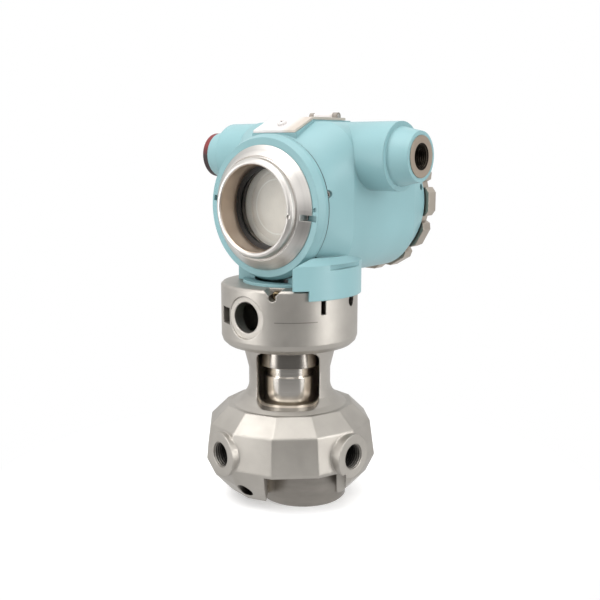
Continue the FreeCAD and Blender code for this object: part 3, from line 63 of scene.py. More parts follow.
class Graph:
    """A material's node tree, built by short calls."""

    def __init__(self, name: str) -> None:
        """Start an empty material.

        Args:
            name: The material's name.
        """
        self.material = bpy.data.materials.new(name)
        self.material.use_nodes = True
        self.tree = self.material.node_tree
        self.tree.nodes.clear()
        self.out = self.node("ShaderNodeOutputMaterial")
        self.place = self.node("ShaderNodeTexCoord").outputs["Object"]

    def node(self, kind: str, **settings: object) -> bpy.types.Node:
        """Add one node.

        Args:
            kind: Blender's node type.
            **settings: Node properties to set.

        Returns:
            The new node.
        """
        made = self.tree.nodes.new(kind)
        for key, setting in settings.items():
            setattr(made, key, setting)
        return made

    def feed(self, socket: Socket, source: object) -> None:
        """Give a socket a number, a colour or another node's output."""
        if isinstance(source, Socket):
            self.tree.links.new(source, socket)
        else:
            socket.default_value = source

    def math(self, operation: str, first: object, second: object = 0.0, clamp: bool = False) -> Socket:
        """Return the result of one sum on two numbers."""
        made = self.node("ShaderNodeMath", operation=operation, use_clamp=clamp)
        self.feed(made.inputs[0], first)
        self.feed(made.inputs[1], second)
        return made.outputs[0]

    def noise(self, scale: float, detail: float = 3.0, stretch: Point = (1, 1, 1), rough: float = 0.55,
              place: object = None) -> Socket:
        """Return a noise value from 0 to 1.

        Args:
            scale: Cells per metre.
            detail: Number of finer layers.
            stretch: Factors on each axis, for streaks.
            rough: Weight of the finer layers.
            place: Coordinates to use in place of the object's own.
        """
        mapping = self.node("ShaderNodeMapping")
        self.feed(mapping.inputs["Vector"], place or self.place)
        mapping.inputs["Scale"].default_value = stretch
        made = self.node("ShaderNodeTexNoise")
        self.feed(made.inputs["Vector"], mapping.outputs[0])
        made.inputs["Scale"].default_value = scale
        made.inputs["Detail"].default_value = detail
        made.inputs["Roughness"].default_value = rough
        return made.outputs["Fac"]

    def span(self, source: object, low: float, high: float, start: float = 0.0,
             end: float = 1.0) -> Socket:
        """Return a value mapped from start..end on to low..high and held there."""
        made = self.node("ShaderNodeMapRange", clamp=True)
        self.feed(made.inputs["Value"], source)
        made.inputs["From Min"].default_value = start
        made.inputs["From Max"].default_value = end
        made.inputs["To Min"].default_value = low
        made.inputs["To Max"].default_value = high
        return made.outputs[0]

    def blend(self, factor: object, first: object, second: object) -> Socket:
        """Return a colour between two colours."""
        made = self.node("ShaderNodeMix", data_type="RGBA")
        self.feed(made.inputs["Factor"], factor)
        for socket, source in ((made.inputs[6], first), (made.inputs[7], second)):
            self.feed(socket, (*source, 1.0) if isinstance(source, tuple) else source)
        return made.outputs[2]

    def bump(self, height: object, depth: float, strength: float = 1.0, under: object = None) -> Socket:
        """Return a normal roughened by a height, depth in metres."""
        made = self.node("ShaderNodeBump")
        made.inputs["Strength"].default_value = strength
        made.inputs["Distance"].default_value = depth
        self.feed(made.inputs["Height"], height)
        if under is not None:
            self.feed(made.inputs["Normal"], under)
        return made.outputs[0]

    def soft_normal(self, radius: float) -> Socket:
        """Return the normal of a surface whose edges are rounded by a radius in metres."""
        made = self.node("ShaderNodeBevel", samples=6)
        made.inputs["Radius"].default_value = radius
        return made.outputs["Normal"]

    def worn_edge(self, width: float = 0.0007) -> Socket:
        """Return 1 beside sharp edges and 0 elsewhere, broken up by noise.

        Args:
            width: Reach of the wear from an edge, in metres.
        """
        turn = self.node("ShaderNodeVectorMath", operation="DOT_PRODUCT")
        self.feed(turn.inputs[0], self.soft_normal(width))
        self.feed(turn.inputs[1], self.node("ShaderNodeNewGeometry").outputs["Normal"])
        edge = self.span(turn.outputs["Value"], 1.0, 0.0, 0.80, 0.985)
        return self.math("MULTIPLY", edge, self.span(self.noise(260.0, 4.0), 0.0, 1.0, 0.40, 0.62), True)

    def recess_shade(self, base: Socket, reach: float = 0.016, amount: float = 0.9) -> Socket:
        """Return a colour with painted shade in deep recesses.

        Args:
            base: The colour without painted shade.
            reach: How far around a point the recess is felt, in metres.
            amount: Darkening of the deepest places, from 0 to 1.
        """
        open_sky = self.node("ShaderNodeAmbientOcclusion", samples=8)
        open_sky.inputs["Distance"].default_value = reach
        shut = self.span(open_sky.outputs["AO"], amount, 0.0, *DEEP_TO_OPEN)
        return self.blend(shut, base, RECESS_SHADE_TONE)

    def away(self, axis: str, centre: Point) -> tuple[Socket, Socket]:
        """Return the distance from an axis and the place along it.

        Args:
            axis: "X", "Y" or "Z".
            centre: A point on that axis.
        """
        split = self.node("ShaderNodeSeparateXYZ")
        self.feed(split.inputs[0], self.ring_place(axis, centre))
        return split.outputs[0], split.outputs[1]

    def ring_place(self, axis: str, centre: Point) -> Socket:
        """Return coordinates that hold only the distance from an axis, for turning marks.

        Args:
            axis: The axis of turning, "X", "Y" or "Z".
            centre: A point on that axis.
        """
        shift = self.node("ShaderNodeVectorMath", operation="SUBTRACT")
        self.feed(shift.inputs[0], self.place)
        shift.inputs[1].default_value = centre
        keep = self.node("ShaderNodeVectorMath", operation="MULTIPLY")
        self.feed(keep.inputs[0], shift.outputs[0])
        keep.inputs[1].default_value = tuple(0.0 if name == axis else 1.0 for name in "XYZ")
        away = self.node("ShaderNodeVectorMath", operation="LENGTH")
        self.feed(away.inputs[0], keep.outputs[0])
        along = self.node("ShaderNodeSeparateXYZ")
        self.feed(along.inputs[0], shift.outputs[0])
        pair = self.node("ShaderNodeCombineXYZ")
        self.feed(pair.inputs[0], away.outputs["Value"])
        self.feed(pair.inputs[1], along.outputs["XYZ".index(axis)])
        return pair.outputs[0]

    def surface(self, base: object, rough: object, normal: object = None,
                **fixed: float) -> bpy.types.Material:
        """Close the material with one Principled shader.

        Args:
            base: Colour, or its source.
            rough: Roughness, or its source.
            normal: Bumped normal, if any.
            **fixed: Uniform shader settings by socket name, with _ for a space.

        Returns:
            The finished material.
        """
        shader = self.node("ShaderNodeBsdfPrincipled")
        self.feed(shader.inputs["Base Color"], (*base, 1.0) if isinstance(base, tuple) else base)
        self.feed(shader.inputs["Roughness"], rough)
        if normal is not None:
            self.feed(shader.inputs["Normal"], normal)
        for name, setting in fixed.items():
            shader.inputs[name.replace("_", " ")].default_value = setting
        self.tree.links.new(shader.outputs[0], self.out.inputs["Surface"])
        return self.material


# ---------------------------------------------------------------- finishes


@dataclass(frozen=True)
class Paint:
    """Stoved enamel on a die casting: fine orange peel, slight colour drift, thin worn edges.

    Attributes:
        peel: Depth of the orange peel, in metres.
        shaded_inside: Radius about the display axis inside which the paint is painted black, as painted
            shade; 0 for none.
        inside_fade: Width of that radius's soft edge.
        bare_above: Height above which the casting has no paint; 0 for none.
        seams: Place along Y and half width of each seam that gets painted shade.
        seam_shade: How dark the painted shade at a seam is, from 0 to 1.
        seam_reach: Radius about the display axis up to which a seam gets painted shade.
    """

    name: str
    colour: Colour
    edge_colour: Colour = (0.40, 0.52, 0.54)
    roughness: float = 0.42
    peel: float = 0.00005
    shaded_inside: float = 0.0
    inside_fade: float = 0.0004
    bare_above: float = 0.0
    bare_colour: Colour = (0.26, 0.23, 0.20)
    seams: tuple[tuple[float, float], ...] = ()
    seam_shade: float = 0.85
    seam_reach: float = 0.0515

    def make(self) -> bpy.types.Material:
        """Return the node material."""
        g = Graph(self.name)
        darker = tuple(c * 0.93 for c in self.colour)
        lighter = tuple(min(1.0, c * 1.05) for c in self.colour)
        base = g.blend(g.span(g.noise(16.0, 2.0), 0.0, 1.0, 0.3, 0.7), darker, lighter)
        base = g.blend(g.math("MULTIPLY", g.worn_edge(), 0.35), base, self.edge_colour)
        # Painted shade: black paint inside the cover, where light does not reach.
        if self.shaded_inside:
            reach, _ = g.away("Y", DISPLAY_AXIS)
            inner = g.span(reach, 1.0, 0.0, self.shaded_inside, self.shaded_inside + self.inside_fade)
            base = g.blend(inner, base, BLACK)
        if self.bare_above:
            split = g.node("ShaderNodeSeparateXYZ")
            g.feed(split.inputs[0], g.place)
            bare = g.math("GREATER_THAN", split.outputs[2], self.bare_above)
            base = g.blend(bare, base, self.bare_colour)
        # Painted shade in the gaps where the covers meet the housing.
        for seam, half in self.seams:
            reach, depth = g.away("Y", DISPLAY_AXIS)
            off = g.math("ABSOLUTE", g.math("SUBTRACT", depth, seam))
            at_seam = g.math("LESS_THAN", off, half)
            line = g.math("MULTIPLY", at_seam, g.math("LESS_THAN", reach, self.seam_reach))
            base = g.blend(g.math("MULTIPLY", line, self.seam_shade), base, BLACK)
        rough = g.span(g.noise(90.0, 3.0), self.roughness - 0.05, self.roughness + 0.08)
        normal = g.bump(g.noise(620.0, 2.0), self.peel, 0.45, g.soft_normal(0.0009))
        return g.surface(base, rough, normal, Coat_Weight=0.12, Coat_Roughness=0.3, Specular_IOR_Level=0.4)


@dataclass(frozen=True)
class CastMetal:
    """Blasted and lightly polished cast metal with a grain, cloudy tone and brighter edges.

    Attributes:
        shade: The darker of the two tones that drift over it.
        grain: Depth of the grain, in metres.
        scribed: True draws a fine level line; its middle and half length are in degrees.
        ports: Ways the threaded ports face, whose bores get painted shade that deepens inwards.
        port_near: Distance from the Z axis at which a bore starts to darken.
        port_deep: Distance from the Z axis at which a bore is as dark as port_dark says.
        unshaded_within: Radius about the Z axis inside which no painted shade is put in recesses.
        lit_within: Radius about the Z axis inside which the bore's colour is painted light.
    """

    name: str
    colour: Colour
    shade: Colour
    roughness: float = 0.36
    grain: float = 0.00006
    grain_scale: float = 900.0
    scribed: bool = False
    scribe_depth: float = 0.40
    scribe_middle: float = 44.5
    scribe_half: float = 17.5
    scribe_height: float = 0.1400
    scribe_width: float = 0.00035
    ports: tuple[float, ...] = ()
    port_dark: float = 0.93
    port_near: float = 0.0625
    port_deep: float = 0.055
    unshaded_within: float = 0.0
    lit_within: float = 0.0
    # Colour of the painted light in the bore.
    bore_light: Colour = (0.80, 0.74, 0.66)

    def make(self) -> bpy.types.Material:
        """Return the node material."""
        g = Graph(self.name)
        base = g.blend(g.span(g.noise(26.0, 4.0), 0.0, 1.0, 0.35, 0.68), self.shade, self.colour)
        bright = tuple(min(1.0, c * 1.25) for c in self.colour)
        base = g.blend(g.math("MULTIPLY", g.worn_edge(0.0009), 0.6), base, bright)
        reach, _ = g.away("Z", ORIGIN)
        # Painted shade in recesses outside one radius, and painted light in the bore inside another.
        base = g.blend(g.math("GREATER_THAN", reach, self.unshaded_within), base, g.recess_shade(base))
        base = g.blend(g.math("LESS_THAN", reach, self.lit_within), base, self.bore_light)
        # Painted shade deepening into each process port.
        for turn in self.ports:
            base = g.blend(self.port(g, turn), base, BLACK)
        if self.scribed:
            base = g.blend(g.math("MULTIPLY", self.line(g), self.scribe_depth), base, BLACK)
        rough = g.span(g.noise(140.0, 4.0), self.roughness - 0.05, self.roughness + 0.09)
        fine = g.bump(g.noise(self.grain_scale, 3.0), self.grain, 0.5, g.soft_normal(0.0014))
        normal = g.bump(g.noise(60.0, 2.0), self.grain * 5, 0.3, fine)
        return g.surface(base, rough, normal, Metallic=1.0)

    def port(self, g: Graph, turn: float) -> Socket:
        """Return the painted shade inside one process port.

        Args:
            g: The material's graph.
            turn: The way the port faces, from -Y towards +X, in degrees.
        """
        way = tuple(level_way(turn))
        shift = g.node("ShaderNodeVectorMath", operation="SUBTRACT")
        g.feed(shift.inputs[0], g.place)
        shift.inputs[1].default_value = (0.0, 0.0, PORT_HEIGHT)
        off = g.node("ShaderNodeVectorMath", operation="CROSS_PRODUCT")
        g.feed(off.inputs[0], shift.outputs[0])
        off.inputs[1].default_value = way
        size = g.node("ShaderNodeVectorMath", operation="LENGTH")
        g.feed(size.inputs[0], off.outputs[0])
        along = g.node("ShaderNodeVectorMath", operation="DOT_PRODUCT")
        g.feed(along.inputs[0], shift.outputs[0])
        along.inputs[1].default_value = way
        within = g.math("LESS_THAN", size.outputs["Value"], PORT_WALL + 0.00015)
        deep = g.span(along.outputs["Value"], self.port_dark, 0.0, self.port_deep, self.port_near)
        ahead = g.math("GREATER_THAN", along.outputs["Value"], 0.0)
        return g.math("MULTIPLY", g.math("MULTIPLY", within, deep), ahead)

    def line(self, g: Graph) -> Socket:
        """Return 1 on the fine level line scribed on the collar, and 0 elsewhere."""
        split = g.node("ShaderNodeSeparateXYZ")
        g.feed(split.inputs[0], g.place)
        turn = g.math("ARCTAN2", split.outputs[0], g.math("MULTIPLY", split.outputs[1], -1.0))
        aside = g.math("ABSOLUTE", g.math("SUBTRACT", turn, math.radians(self.scribe_middle)))
        within = g.math("LESS_THAN", aside, math.radians(self.scribe_half))
        above = g.math("ABSOLUTE", g.math("SUBTRACT", split.outputs[2], self.scribe_height))
        return g.math("MULTIPLY", within, g.math("LESS_THAN", above, self.scribe_width))


@dataclass(frozen=True)
class TurnedMetal:
    """Metal with fine turning marks round an axis, and an optional other tone inside a radius."""

    name: str
    colour: Colour
    axis: str
    centre: Point
    roughness: float = 0.26
    marks: float = 0.00002
    inner_colour: Colour | None = None
    inner_radius: float = 0.0
    recess_shading: float = 0.0

    def make(self) -> bpy.types.Material:
        """Return the node material."""
        g = Graph(self.name)
        rings = g.ring_place(self.axis, self.centre)
        mark = g.noise(1900.0, 2.0, (1.0, 1.0, 0.0), place=rings)
        broad = g.noise(190.0, 2.0, (1.0, 1.0, 0.0), place=rings)
        darker = tuple(c * 0.86 for c in self.colour)
        base = g.blend(g.span(broad, 0.0, 1.0, 0.3, 0.7), darker, self.colour)
        # Another tone inside a radius; in the cable entry insert's bore it is painted shade.
        if self.inner_colour:
            reach, _ = g.away(self.axis, self.centre)
            base = g.blend(g.math("LESS_THAN", reach, self.inner_radius), base, self.inner_colour)
        bright = tuple(min(1.0, c * 1.2) for c in self.colour)
        base = g.blend(g.math("MULTIPLY", g.worn_edge(0.0005), 0.6), base, bright)
        # Painted shade in recesses.
        if self.recess_shading:
            base = g.recess_shade(base, 0.014, self.recess_shading)
        rough = g.span(mark, self.roughness - 0.04, self.roughness + 0.10)
        normal = g.bump(mark, self.marks, 0.45, g.soft_normal(0.0005))
        return g.surface(base, rough, normal, Metallic=1.0, Anisotropic=0.3)


@dataclass(frozen=True)
class Moulded:
    """Plastic or rubber: a fine spark texture and a little dust in the colour."""

    name: str
    colour: Colour
    roughness: float = 0.5
    grain: float = 0.00005
    grain_scale: float = 1200.0
    sheen: float = 0.0
    ring_radius: float = 0.0
    ring_colour: Colour = (0.8, 0.78, 0.74)
    dark_below: float = 0.0
    dark_fade: float = 0.004

    def make(self) -> bpy.types.Material:
        """Return the node material."""
        g = Graph(self.name)
        darker = tuple(c * 0.90 for c in self.colour)
        lighter = tuple(min(1.0, c * 1.06 + 0.002) for c in self.colour)
        base = g.blend(g.span(g.noise(55.0, 4.0), 0.0, 1.0, 0.3, 0.7), darker, lighter)
        worn = tuple(min(1.0, c * 1.2 + 0.02) for c in self.colour)
        base = g.blend(g.math("MULTIPLY", g.worn_edge(), 0.35), base, worn)
        if self.ring_radius:
            reach, _ = g.away("Y", DISPLAY_AXIS)
            off = g.math("ABSOLUTE", g.math("SUBTRACT", reach, self.ring_radius))
            base = g.blend(g.span(off, 0.8, 0.0, 0.0002, 0.0007), base, self.ring_colour)
        # Painted shade: the part is darker below a height, as on its shaded underside.
        if self.dark_below:
            split = g.node("ShaderNodeSeparateXYZ")
            g.feed(split.inputs[0], g.place)
            height = g.math("ADD", split.outputs[2], g.math("MULTIPLY", g.noise(180.0, 2.0), self.dark_fade))
            low, high = self.dark_below - self.dark_fade, self.dark_below + self.dark_fade
            dark = g.span(height, 0.9, 0.0, low, high)
            base = g.blend(dark, base, BLACK)
        rough = g.span(g.noise(200.0, 3.0), self.roughness - 0.06, self.roughness + 0.08)
        normal = g.bump(g.noise(self.grain_scale, 2.0), self.grain, 0.5, g.soft_normal(0.0004))
        return g.surface(base, rough, normal, Sheen_Weight=self.sheen)


@dataclass(frozen=True)
class Sheet:
    """Pale satin sheet that warms towards its right-hand side."""

    name: str
    colour: Colour
    warm: Colour
    start: float
    end: float
    roughness: float = 0.42

    def make(self) -> bpy.types.Material:
        """Return the node material."""
        g = Graph(self.name)
        split = g.node("ShaderNodeSeparateXYZ")
        g.feed(split.inputs[0], g.place)
        drift = g.math("MULTIPLY", g.math("SUBTRACT", g.noise(70.0, 3.0), 0.5), 0.008)
        side = g.span(g.math("ADD", split.outputs[0], drift), 0.0, 1.0, self.start, self.end)
        base = g.blend(side, self.colour, self.warm)
        base = g.blend(g.math("MULTIPLY", g.worn_edge(0.0005), 0.4), base, (0.9, 0.9, 0.88))
        rough = g.span(g.noise(160.0, 3.0), self.roughness - 0.06, self.roughness + 0.1)
        normal = g.bump(g.noise(800.0, 2.0), 0.00002, 0.4, g.soft_normal(0.0004))
        return g.surface(base, rough, normal, Metallic=0.25)


@dataclass(frozen=True)
class Glass:
    """Thick clear window glass that lets light through to the display."""

    name: str
    tint: Colour = (0.97, 0.985, 0.98)

    def make(self) -> bpy.types.Material:
        """Return the node material."""
        g = Graph(self.name)
        clear = g.node("ShaderNodeBsdfPrincipled")
        clear.inputs["Base Color"].default_value = (*self.tint, 1.0)
        clear.inputs["Transmission Weight"].default_value = 1.0
        clear.inputs["IOR"].default_value = 1.46
        g.feed(clear.inputs["Roughness"], g.span(g.noise(30.0, 3.0), 0.01, 0.035))
        g.feed(clear.inputs["Normal"], g.bump(g.noise(25.0, 1.0), 0.00002, 0.4))
        through = g.node("ShaderNodeBsdfTransparent")
        through.inputs["Color"].default_value = (*self.tint, 1.0)
        ray = g.node("ShaderNodeLightPath")
        mix = g.node("ShaderNodeMixShader")
        g.feed(mix.inputs[0], g.math("MAXIMUM", ray.outputs["Is Shadow Ray"], ray.outputs["Is Diffuse Ray"]))
        g.feed(mix.inputs[1], clear.outputs[0])
        g.feed(mix.inputs[2], through.outputs[0])
        g.tree.links.new(mix.outputs[0], g.out.inputs["Surface"])
        return g.material


DISPLAY_AXIS: Point = (0.0, 0.0, 0.2165)
ENTRY_AXIS: Point = (0.0, 0.028, 0.252)
ORIGIN: Point = (0.0, 0.0, 0.0)
TEAL: Colour = (0.205, 0.362, 0.382)
BLACK: Colour = (0.012, 0.012, 0.012)
# Colour of the painted shade in recesses.
RECESS_SHADE_TONE: Colour = (0.060, 0.048, 0.038)
DEEP_TO_OPEN = (0.12, 0.50)  # how open a place is where the painted shade is darkest, and where it ends
PORT_HEIGHT = 0.042
PORT_WALL = 0.00925
PORT_TURNS = {"high": -14.0, "low": 86.0}
FRONT_SEAM, REAR_SEAM = -0.0190, 0.1000  # places along Y where the covers meet the housing
SLOT_SHARE = 0.22
HARD_EDGE = 35.0

FINISHES = {
    # Cast steel: painted shade in recesses and ports, and painted light in the neck's bore.
    "cast_steel": CastMetal("cast steel", (0.46, 0.434, 0.397), (0.38, 0.357, 0.325), 0.46, scribed=True,
                            ports=tuple(PORT_TURNS.values()), unshaded_within=0.0315, lit_within=0.0298),
    "foot_steel": TurnedMetal("turned foot", (0.27, 0.25, 0.225), "Z", ORIGIN, 0.36),
    "machined_steel": TurnedMetal("turned steel", (0.62, 0.61, 0.60), "Z", ORIGIN, 0.25),
    "diaphragm_foil": TurnedMetal("diaphragm foil", (0.70, 0.70, 0.69), "Z", ORIGIN, 0.2),
    "tube_steel": TurnedMetal("sensor tube steel", (0.76, 0.72, 0.665), "Z", ORIGIN, 0.13),
    # The nut's colour is kept dark as painted shade under the collar.
    "polished_steel": TurnedMetal("polished nut", (0.40, 0.37, 0.335), "Z", ORIGIN, 0.15),
    "board_green": Moulded("board lacquer", (0.03, 0.16, 0.07), 0.35),
    "zinc_screw": CastMetal("zinc plate", (0.52, 0.50, 0.47), (0.42, 0.40, 0.38), 0.3),
    "brass_screw": CastMetal("dull brass", (0.40, 0.31, 0.18), (0.30, 0.23, 0.13), 0.36),
    # The seams get painted shade.
    "teal_paint": Paint("petrol enamel", TEAL, bare_above=0.2776,
                        seams=((FRONT_SEAM, 0.0003), (REAR_SEAM, 0.0003))),
    # The cover's inside is painted black as painted shade.
    "cover_paint": Paint("petrol enamel of the cover", tuple(c * 0.97 for c in TEAL), shaded_inside=0.0386,
                         seams=((FRONT_SEAM, 0.0018),)),
    "black_rubber": Moulded("black rubber", BLACK, 0.62, sheen=0.1),
    "ribbon_grey": Moulded("grey cable", (0.35, 0.36, 0.37), 0.5),
    # The insert's bore within inner_radius is painted near-black as painted shade in the hole.
    "bare_metal": TurnedMetal("turned insert", (0.40, 0.33, 0.265), "X", ENTRY_AXIS, 0.36, 0.00002,
                              (0.03, 0.025, 0.02), 0.0093),
    "module_grey": Moulded("grey moulding", (0.08, 0.085, 0.09), 0.5),
    "display_frame": Moulded("black moulding", (0.02, 0.02, 0.022), 0.45),
    "display_screen": Moulded("unlit screen", (0.66, 0.605, 0.55), 0.3, 0.00001, ring_radius=0.0195),
    "display_ring": Moulded("printed ring", (0.70, 0.67, 0.62), 0.45),
    "terminal_black": Moulded("terminal moulding", (0.02, 0.02, 0.02), 0.5),
    "bezel_metal": TurnedMetal("turned bezel", (0.65, 0.622, 0.59), "Y", DISPLAY_AXIS, 0.38, 0.00003,
                               (0.74, 0.61, 0.50), 0.0304),
    "window_glass": Glass("window glass"),
    "rear_cover_metal": CastMetal("bare cast cover", (0.46, 0.41, 0.35), (0.36, 0.32, 0.27), 0.38),
    "key_plastic": Moulded("key moulding", (0.06, 0.065, 0.07), 0.5),
    "pale_metal": Sheet("pale sheet", (0.64, 0.615, 0.60), (0.50, 0.44, 0.38), 0.006, 0.014),
    # The dust plug's lower part is darkened as painted shade.
    "red_plastic": Moulded("red moulding", (0.16, 0.012, 0.014), 0.55, dark_below=0.2575),
}


def dress(nodes: dict[str, bpy.types.Object], record: dict) -> dict[str, bpy.types.Material]:
    """Give every carried-over solid the finish of its slot.

    Args:
        nodes: The CAD objects by name.
        record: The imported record.

    Returns:
        The materials by slot name.
    """
    made = {slot: finish.make() for slot, finish in FINISHES.items()}
    for entry in record["subparts"]:
        shown = nodes[entry["node"]]
        for place in shown.material_slots:
            place.material = made[entry["material_slot"]]
    LOG.info("%d finishes on %d nodes", len(made), len(nodes))
    return made


# ---------------------------------------------------------------- fittings


def joined(name: str, mesh: bpy.types.Mesh) -> bpy.types.Object:
    """Return a new object of a mesh, linked to the scene."""
    seat = bpy.data.objects.new(name, mesh)
    bpy.context.scene.collection.objects.link(seat)
    return seat


def stacked_rings(name: str, rings: Sequence[Sequence[Point]], closed: bool) -> bpy.types.Mesh:
    """Return a mesh skinned over rings of equal count.

    Args:
        name: The mesh's name.
        rings: Rings of points, each in order round the local Z axis.
        closed: True joins the last ring to the first; False caps both ends.

    Returns:
        The mesh, with outward normals and hard edges above HARD_EDGE degrees.
    """
    shape = bmesh.new()
    made = [[shape.verts.new(point) for point in ring] for ring in rings]
    count = len(made[0])
    pairs = list(zip(made, made[1:] + made[:1])) if closed else list(zip(made, made[1:]))
    for low, high in pairs:
        for i in range(count):
            j = (i + 1) % count
            shape.faces.new((low[i], low[j], high[j], high[i]))
    if not closed:
        shape.faces.new(list(reversed(made[0])))
        shape.faces.new(made[-1])
    bmesh.ops.recalc_face_normals(shape, faces=shape.faces)
    mesh = bpy.data.meshes.new(name)
    shape.to_mesh(mesh)
    shape.free()
    mesh.shade_smooth()
    mesh.set_sharp_from_angle(angle=math.radians(HARD_EDGE))
    return mesh


class Drive(Enum):
    """Recess in a screw head."""

    HEX = "hex"
    SLOT = "slot"
    CROSS = "cross"

    def reach(self, turn: float, size: float) -> float:
        """Return the recess's half width in one direction.

        Args:
            turn: Direction round the head, in radians.
            size: Half the recess's largest width, in metres.
        """
        c, s = max(abs(math.cos(turn)), 1e-6), max(abs(math.sin(turn)), 1e-6)
        if self is Drive.HEX:
            sixth = math.pi / 3
            return size * math.cos(sixth / 2) / math.cos((turn % sixth) - sixth / 2)
        long_way = min(size / c, size * SLOT_SHARE / s)
        return long_way if self is Drive.SLOT else max(long_way, min(size / s, size * SLOT_SHARE / c))


@dataclass(frozen=True)
class Head:
    """A screw head with a chamfered rim and a driving recess, its top at the local origin.

    Attributes:
        recess: Width of the recess as a share of the head's.
        depth: Depth of the recess, in metres.
        deepest: Largest share of the head's height that the recess may take.
    """

    radius: float
    height: float
    drive: Drive
    recess: float = 0.62
    chamfer: float = 0.0004
    depth: float = 0.0011
    deepest: float = 0.7
    steps: int = 96

    def mesh(self) -> bpy.types.Mesh:
        """Return the head, facing +Z."""
        turns = [2 * math.pi * i / self.steps for i in range(self.steps)]
        rounds = (
            (self.radius, -self.height),
            (self.radius, -self.chamfer),
            (self.radius - self.chamfer, 0.0),
        )
        rings = [[(r * math.cos(t), r * math.sin(t), z) for t in turns] for r, z in rounds]
        for z in (0.0, -min(self.depth, self.height * self.deepest)):
            reach = [self.drive.reach(t, self.radius * self.recess) for t in turns]
            rings.append([(r * math.cos(t), r * math.sin(t), z) for r, t in zip(reach, turns)])
        return stacked_rings("head", rings, closed=False)


@dataclass(frozen=True)
class Ridge:
    """One crest of an inside thread, a ring about the local Z axis.

    Attributes:
        wall: Radius of the hole.
        crest: Radius of the ridge's flat top.
        seated: How far the ridge's foot goes into the wall.
        half_root: Half the foot's width, as a share of the pitch.
        half_crest: Half the flat top's width, as a share of the pitch.
    """

    wall: float
    crest: float
    pitch: float
    seated: float = 0.0001
    half_root: float = 0.42
    half_crest: float = 0.08
    steps: int = 72

    def mesh(self) -> bpy.types.Mesh:
        """Return the ring."""
        root = self.wall + self.seated
        foot, top = self.half_root, self.half_crest
        section = ((root, -foot), (self.crest, -top), (self.crest, top), (root, foot))
        turns = [2 * math.pi * i / self.steps for i in range(self.steps)]
        rings = [[(r * math.cos(t), r * math.sin(t), k * self.pitch) for t in turns] for r, k in section]
        return stacked_rings("ridge", rings, closed=True)


class Repeater:
    """A Geometry Nodes tree that seats one shape on many points, each facing its own way."""

    def __init__(self) -> None:
        """Build the node tree."""
        self.tree = bpy.data.node_groups.new("repeat", "GeometryNodeTree")
        self.sockets: dict[str, str] = {}
        for name, kind in (("Places", "Geometry"), ("Shape", "Object"), ("Twist", "Float"), ("Seed", "Int"),
                           ("Finish", "Material")):
            made = self.tree.interface.new_socket(name=name, in_out="INPUT", socket_type="NodeSocket" + kind)
            self.sockets[name] = made.identifier
        self.tree.interface.new_socket(name="Result", in_out="OUTPUT", socket_type="NodeSocketGeometry")
        given, out = self.add("NodeGroupInput"), self.add("NodeGroupOutput")
        facing = self.add("GeometryNodeInputNamedAttribute", data_type="FLOAT_VECTOR")
        facing.inputs["Name"].default_value = "facing"
        align = self.add("FunctionNodeAlignRotationToVector", axis="Z")
        turn = self.add("FunctionNodeRandomValue", data_type="FLOAT")
        spin = self.add("FunctionNodeAxisAngleToRotation")
        both = self.add("FunctionNodeRotateRotation", rotation_space="LOCAL")
        shape = self.add("GeometryNodeObjectInfo")
        seats = self.add("GeometryNodeInstanceOnPoints")
        real = self.add("GeometryNodeRealizeInstances")
        finish = self.add("GeometryNodeSetMaterial")
        link = self.tree.links.new
        link(facing.outputs["Attribute"], align.inputs["Vector"])
        link(given.outputs["Twist"], turn.inputs[3])
        link(given.outputs["Seed"], turn.inputs["Seed"])
        link(turn.outputs[1], spin.inputs["Angle"])
        link(align.outputs[0], both.inputs[0])
        link(spin.outputs[0], both.inputs[1])
        link(given.outputs["Shape"], shape.inputs["Object"])
        link(given.outputs["Places"], seats.inputs["Points"])
        link(shape.outputs["Geometry"], seats.inputs["Instance"])
        link(both.outputs[0], seats.inputs["Rotation"])
        link(seats.outputs[0], real.inputs[0])
        link(real.outputs[0], finish.inputs["Geometry"])
        link(given.outputs["Finish"], finish.inputs["Material"])
        link(finish.outputs[0], out.inputs[0])

    def add(self, kind: str, **settings: object) -> bpy.types.Node:
        """Add one node with its settings."""
        made = self.tree.nodes.new(kind)
        for key, setting in settings.items():
            setattr(made, key, setting)
        return made

    def run(self, name: str, shape: bpy.types.Mesh, places: Sequence[tuple[Point, Point]],
            finish: bpy.types.Material, twist: float = 0.0, seed: int = 7) -> bpy.types.Object:
        """Return one plain object with the shape at every place.

        Args:
            name: The new piece's name.
            shape: What is repeated.
            places: Pairs of seat and facing direction.
            finish: The piece's material.
            twist: Largest turn about the facing direction, in radians.
            seed: Seed of the turns.
        """
        mould = joined("mould", shape)
        mesh = bpy.data.meshes.new("places")
        mesh.from_pydata([seat for seat, _ in places], [], [])
        facing = mesh.attributes.new("facing", "FLOAT_VECTOR", "POINT")
        facing.data.foreach_set("vector", [c for _, way in places for c in way])
        carrier = joined("places", mesh)
        modifier = carrier.modifiers.new("repeat", "NODES")
        modifier.node_group = self.tree
        for key, setting in (("Shape", mould), ("Twist", twist), ("Seed", seed), ("Finish", finish)):
            modifier[self.sockets[key]] = setting
        graph = bpy.context.evaluated_depsgraph_get()
        result = bpy.data.meshes.new_from_object(carrier.evaluated_get(graph))
        result.name = name
        for spare in (carrier, mould):
            bpy.data.objects.remove(spare)
        return joined(name, result)


def middle(node: str) -> Vector:
    """Return the middle of a node's box."""
    low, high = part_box(node)
    return (Vector(low) + Vector(high)) / 2


def level_way(turn: float) -> Vector:
    """Return the level direction at an angle from -Y towards +X, in degrees."""
    return raised_way(turn, 0.0)


def raised_way(turn: float, rise: float) -> Vector:
    """Return the direction at an angle from -Y towards +X and an angle above level, in degrees."""
    a, e = math.radians(turn), math.radians(rise)
    return Vector((math.sin(a) * math.cos(e), -math.cos(a) * math.cos(e), math.sin(e)))


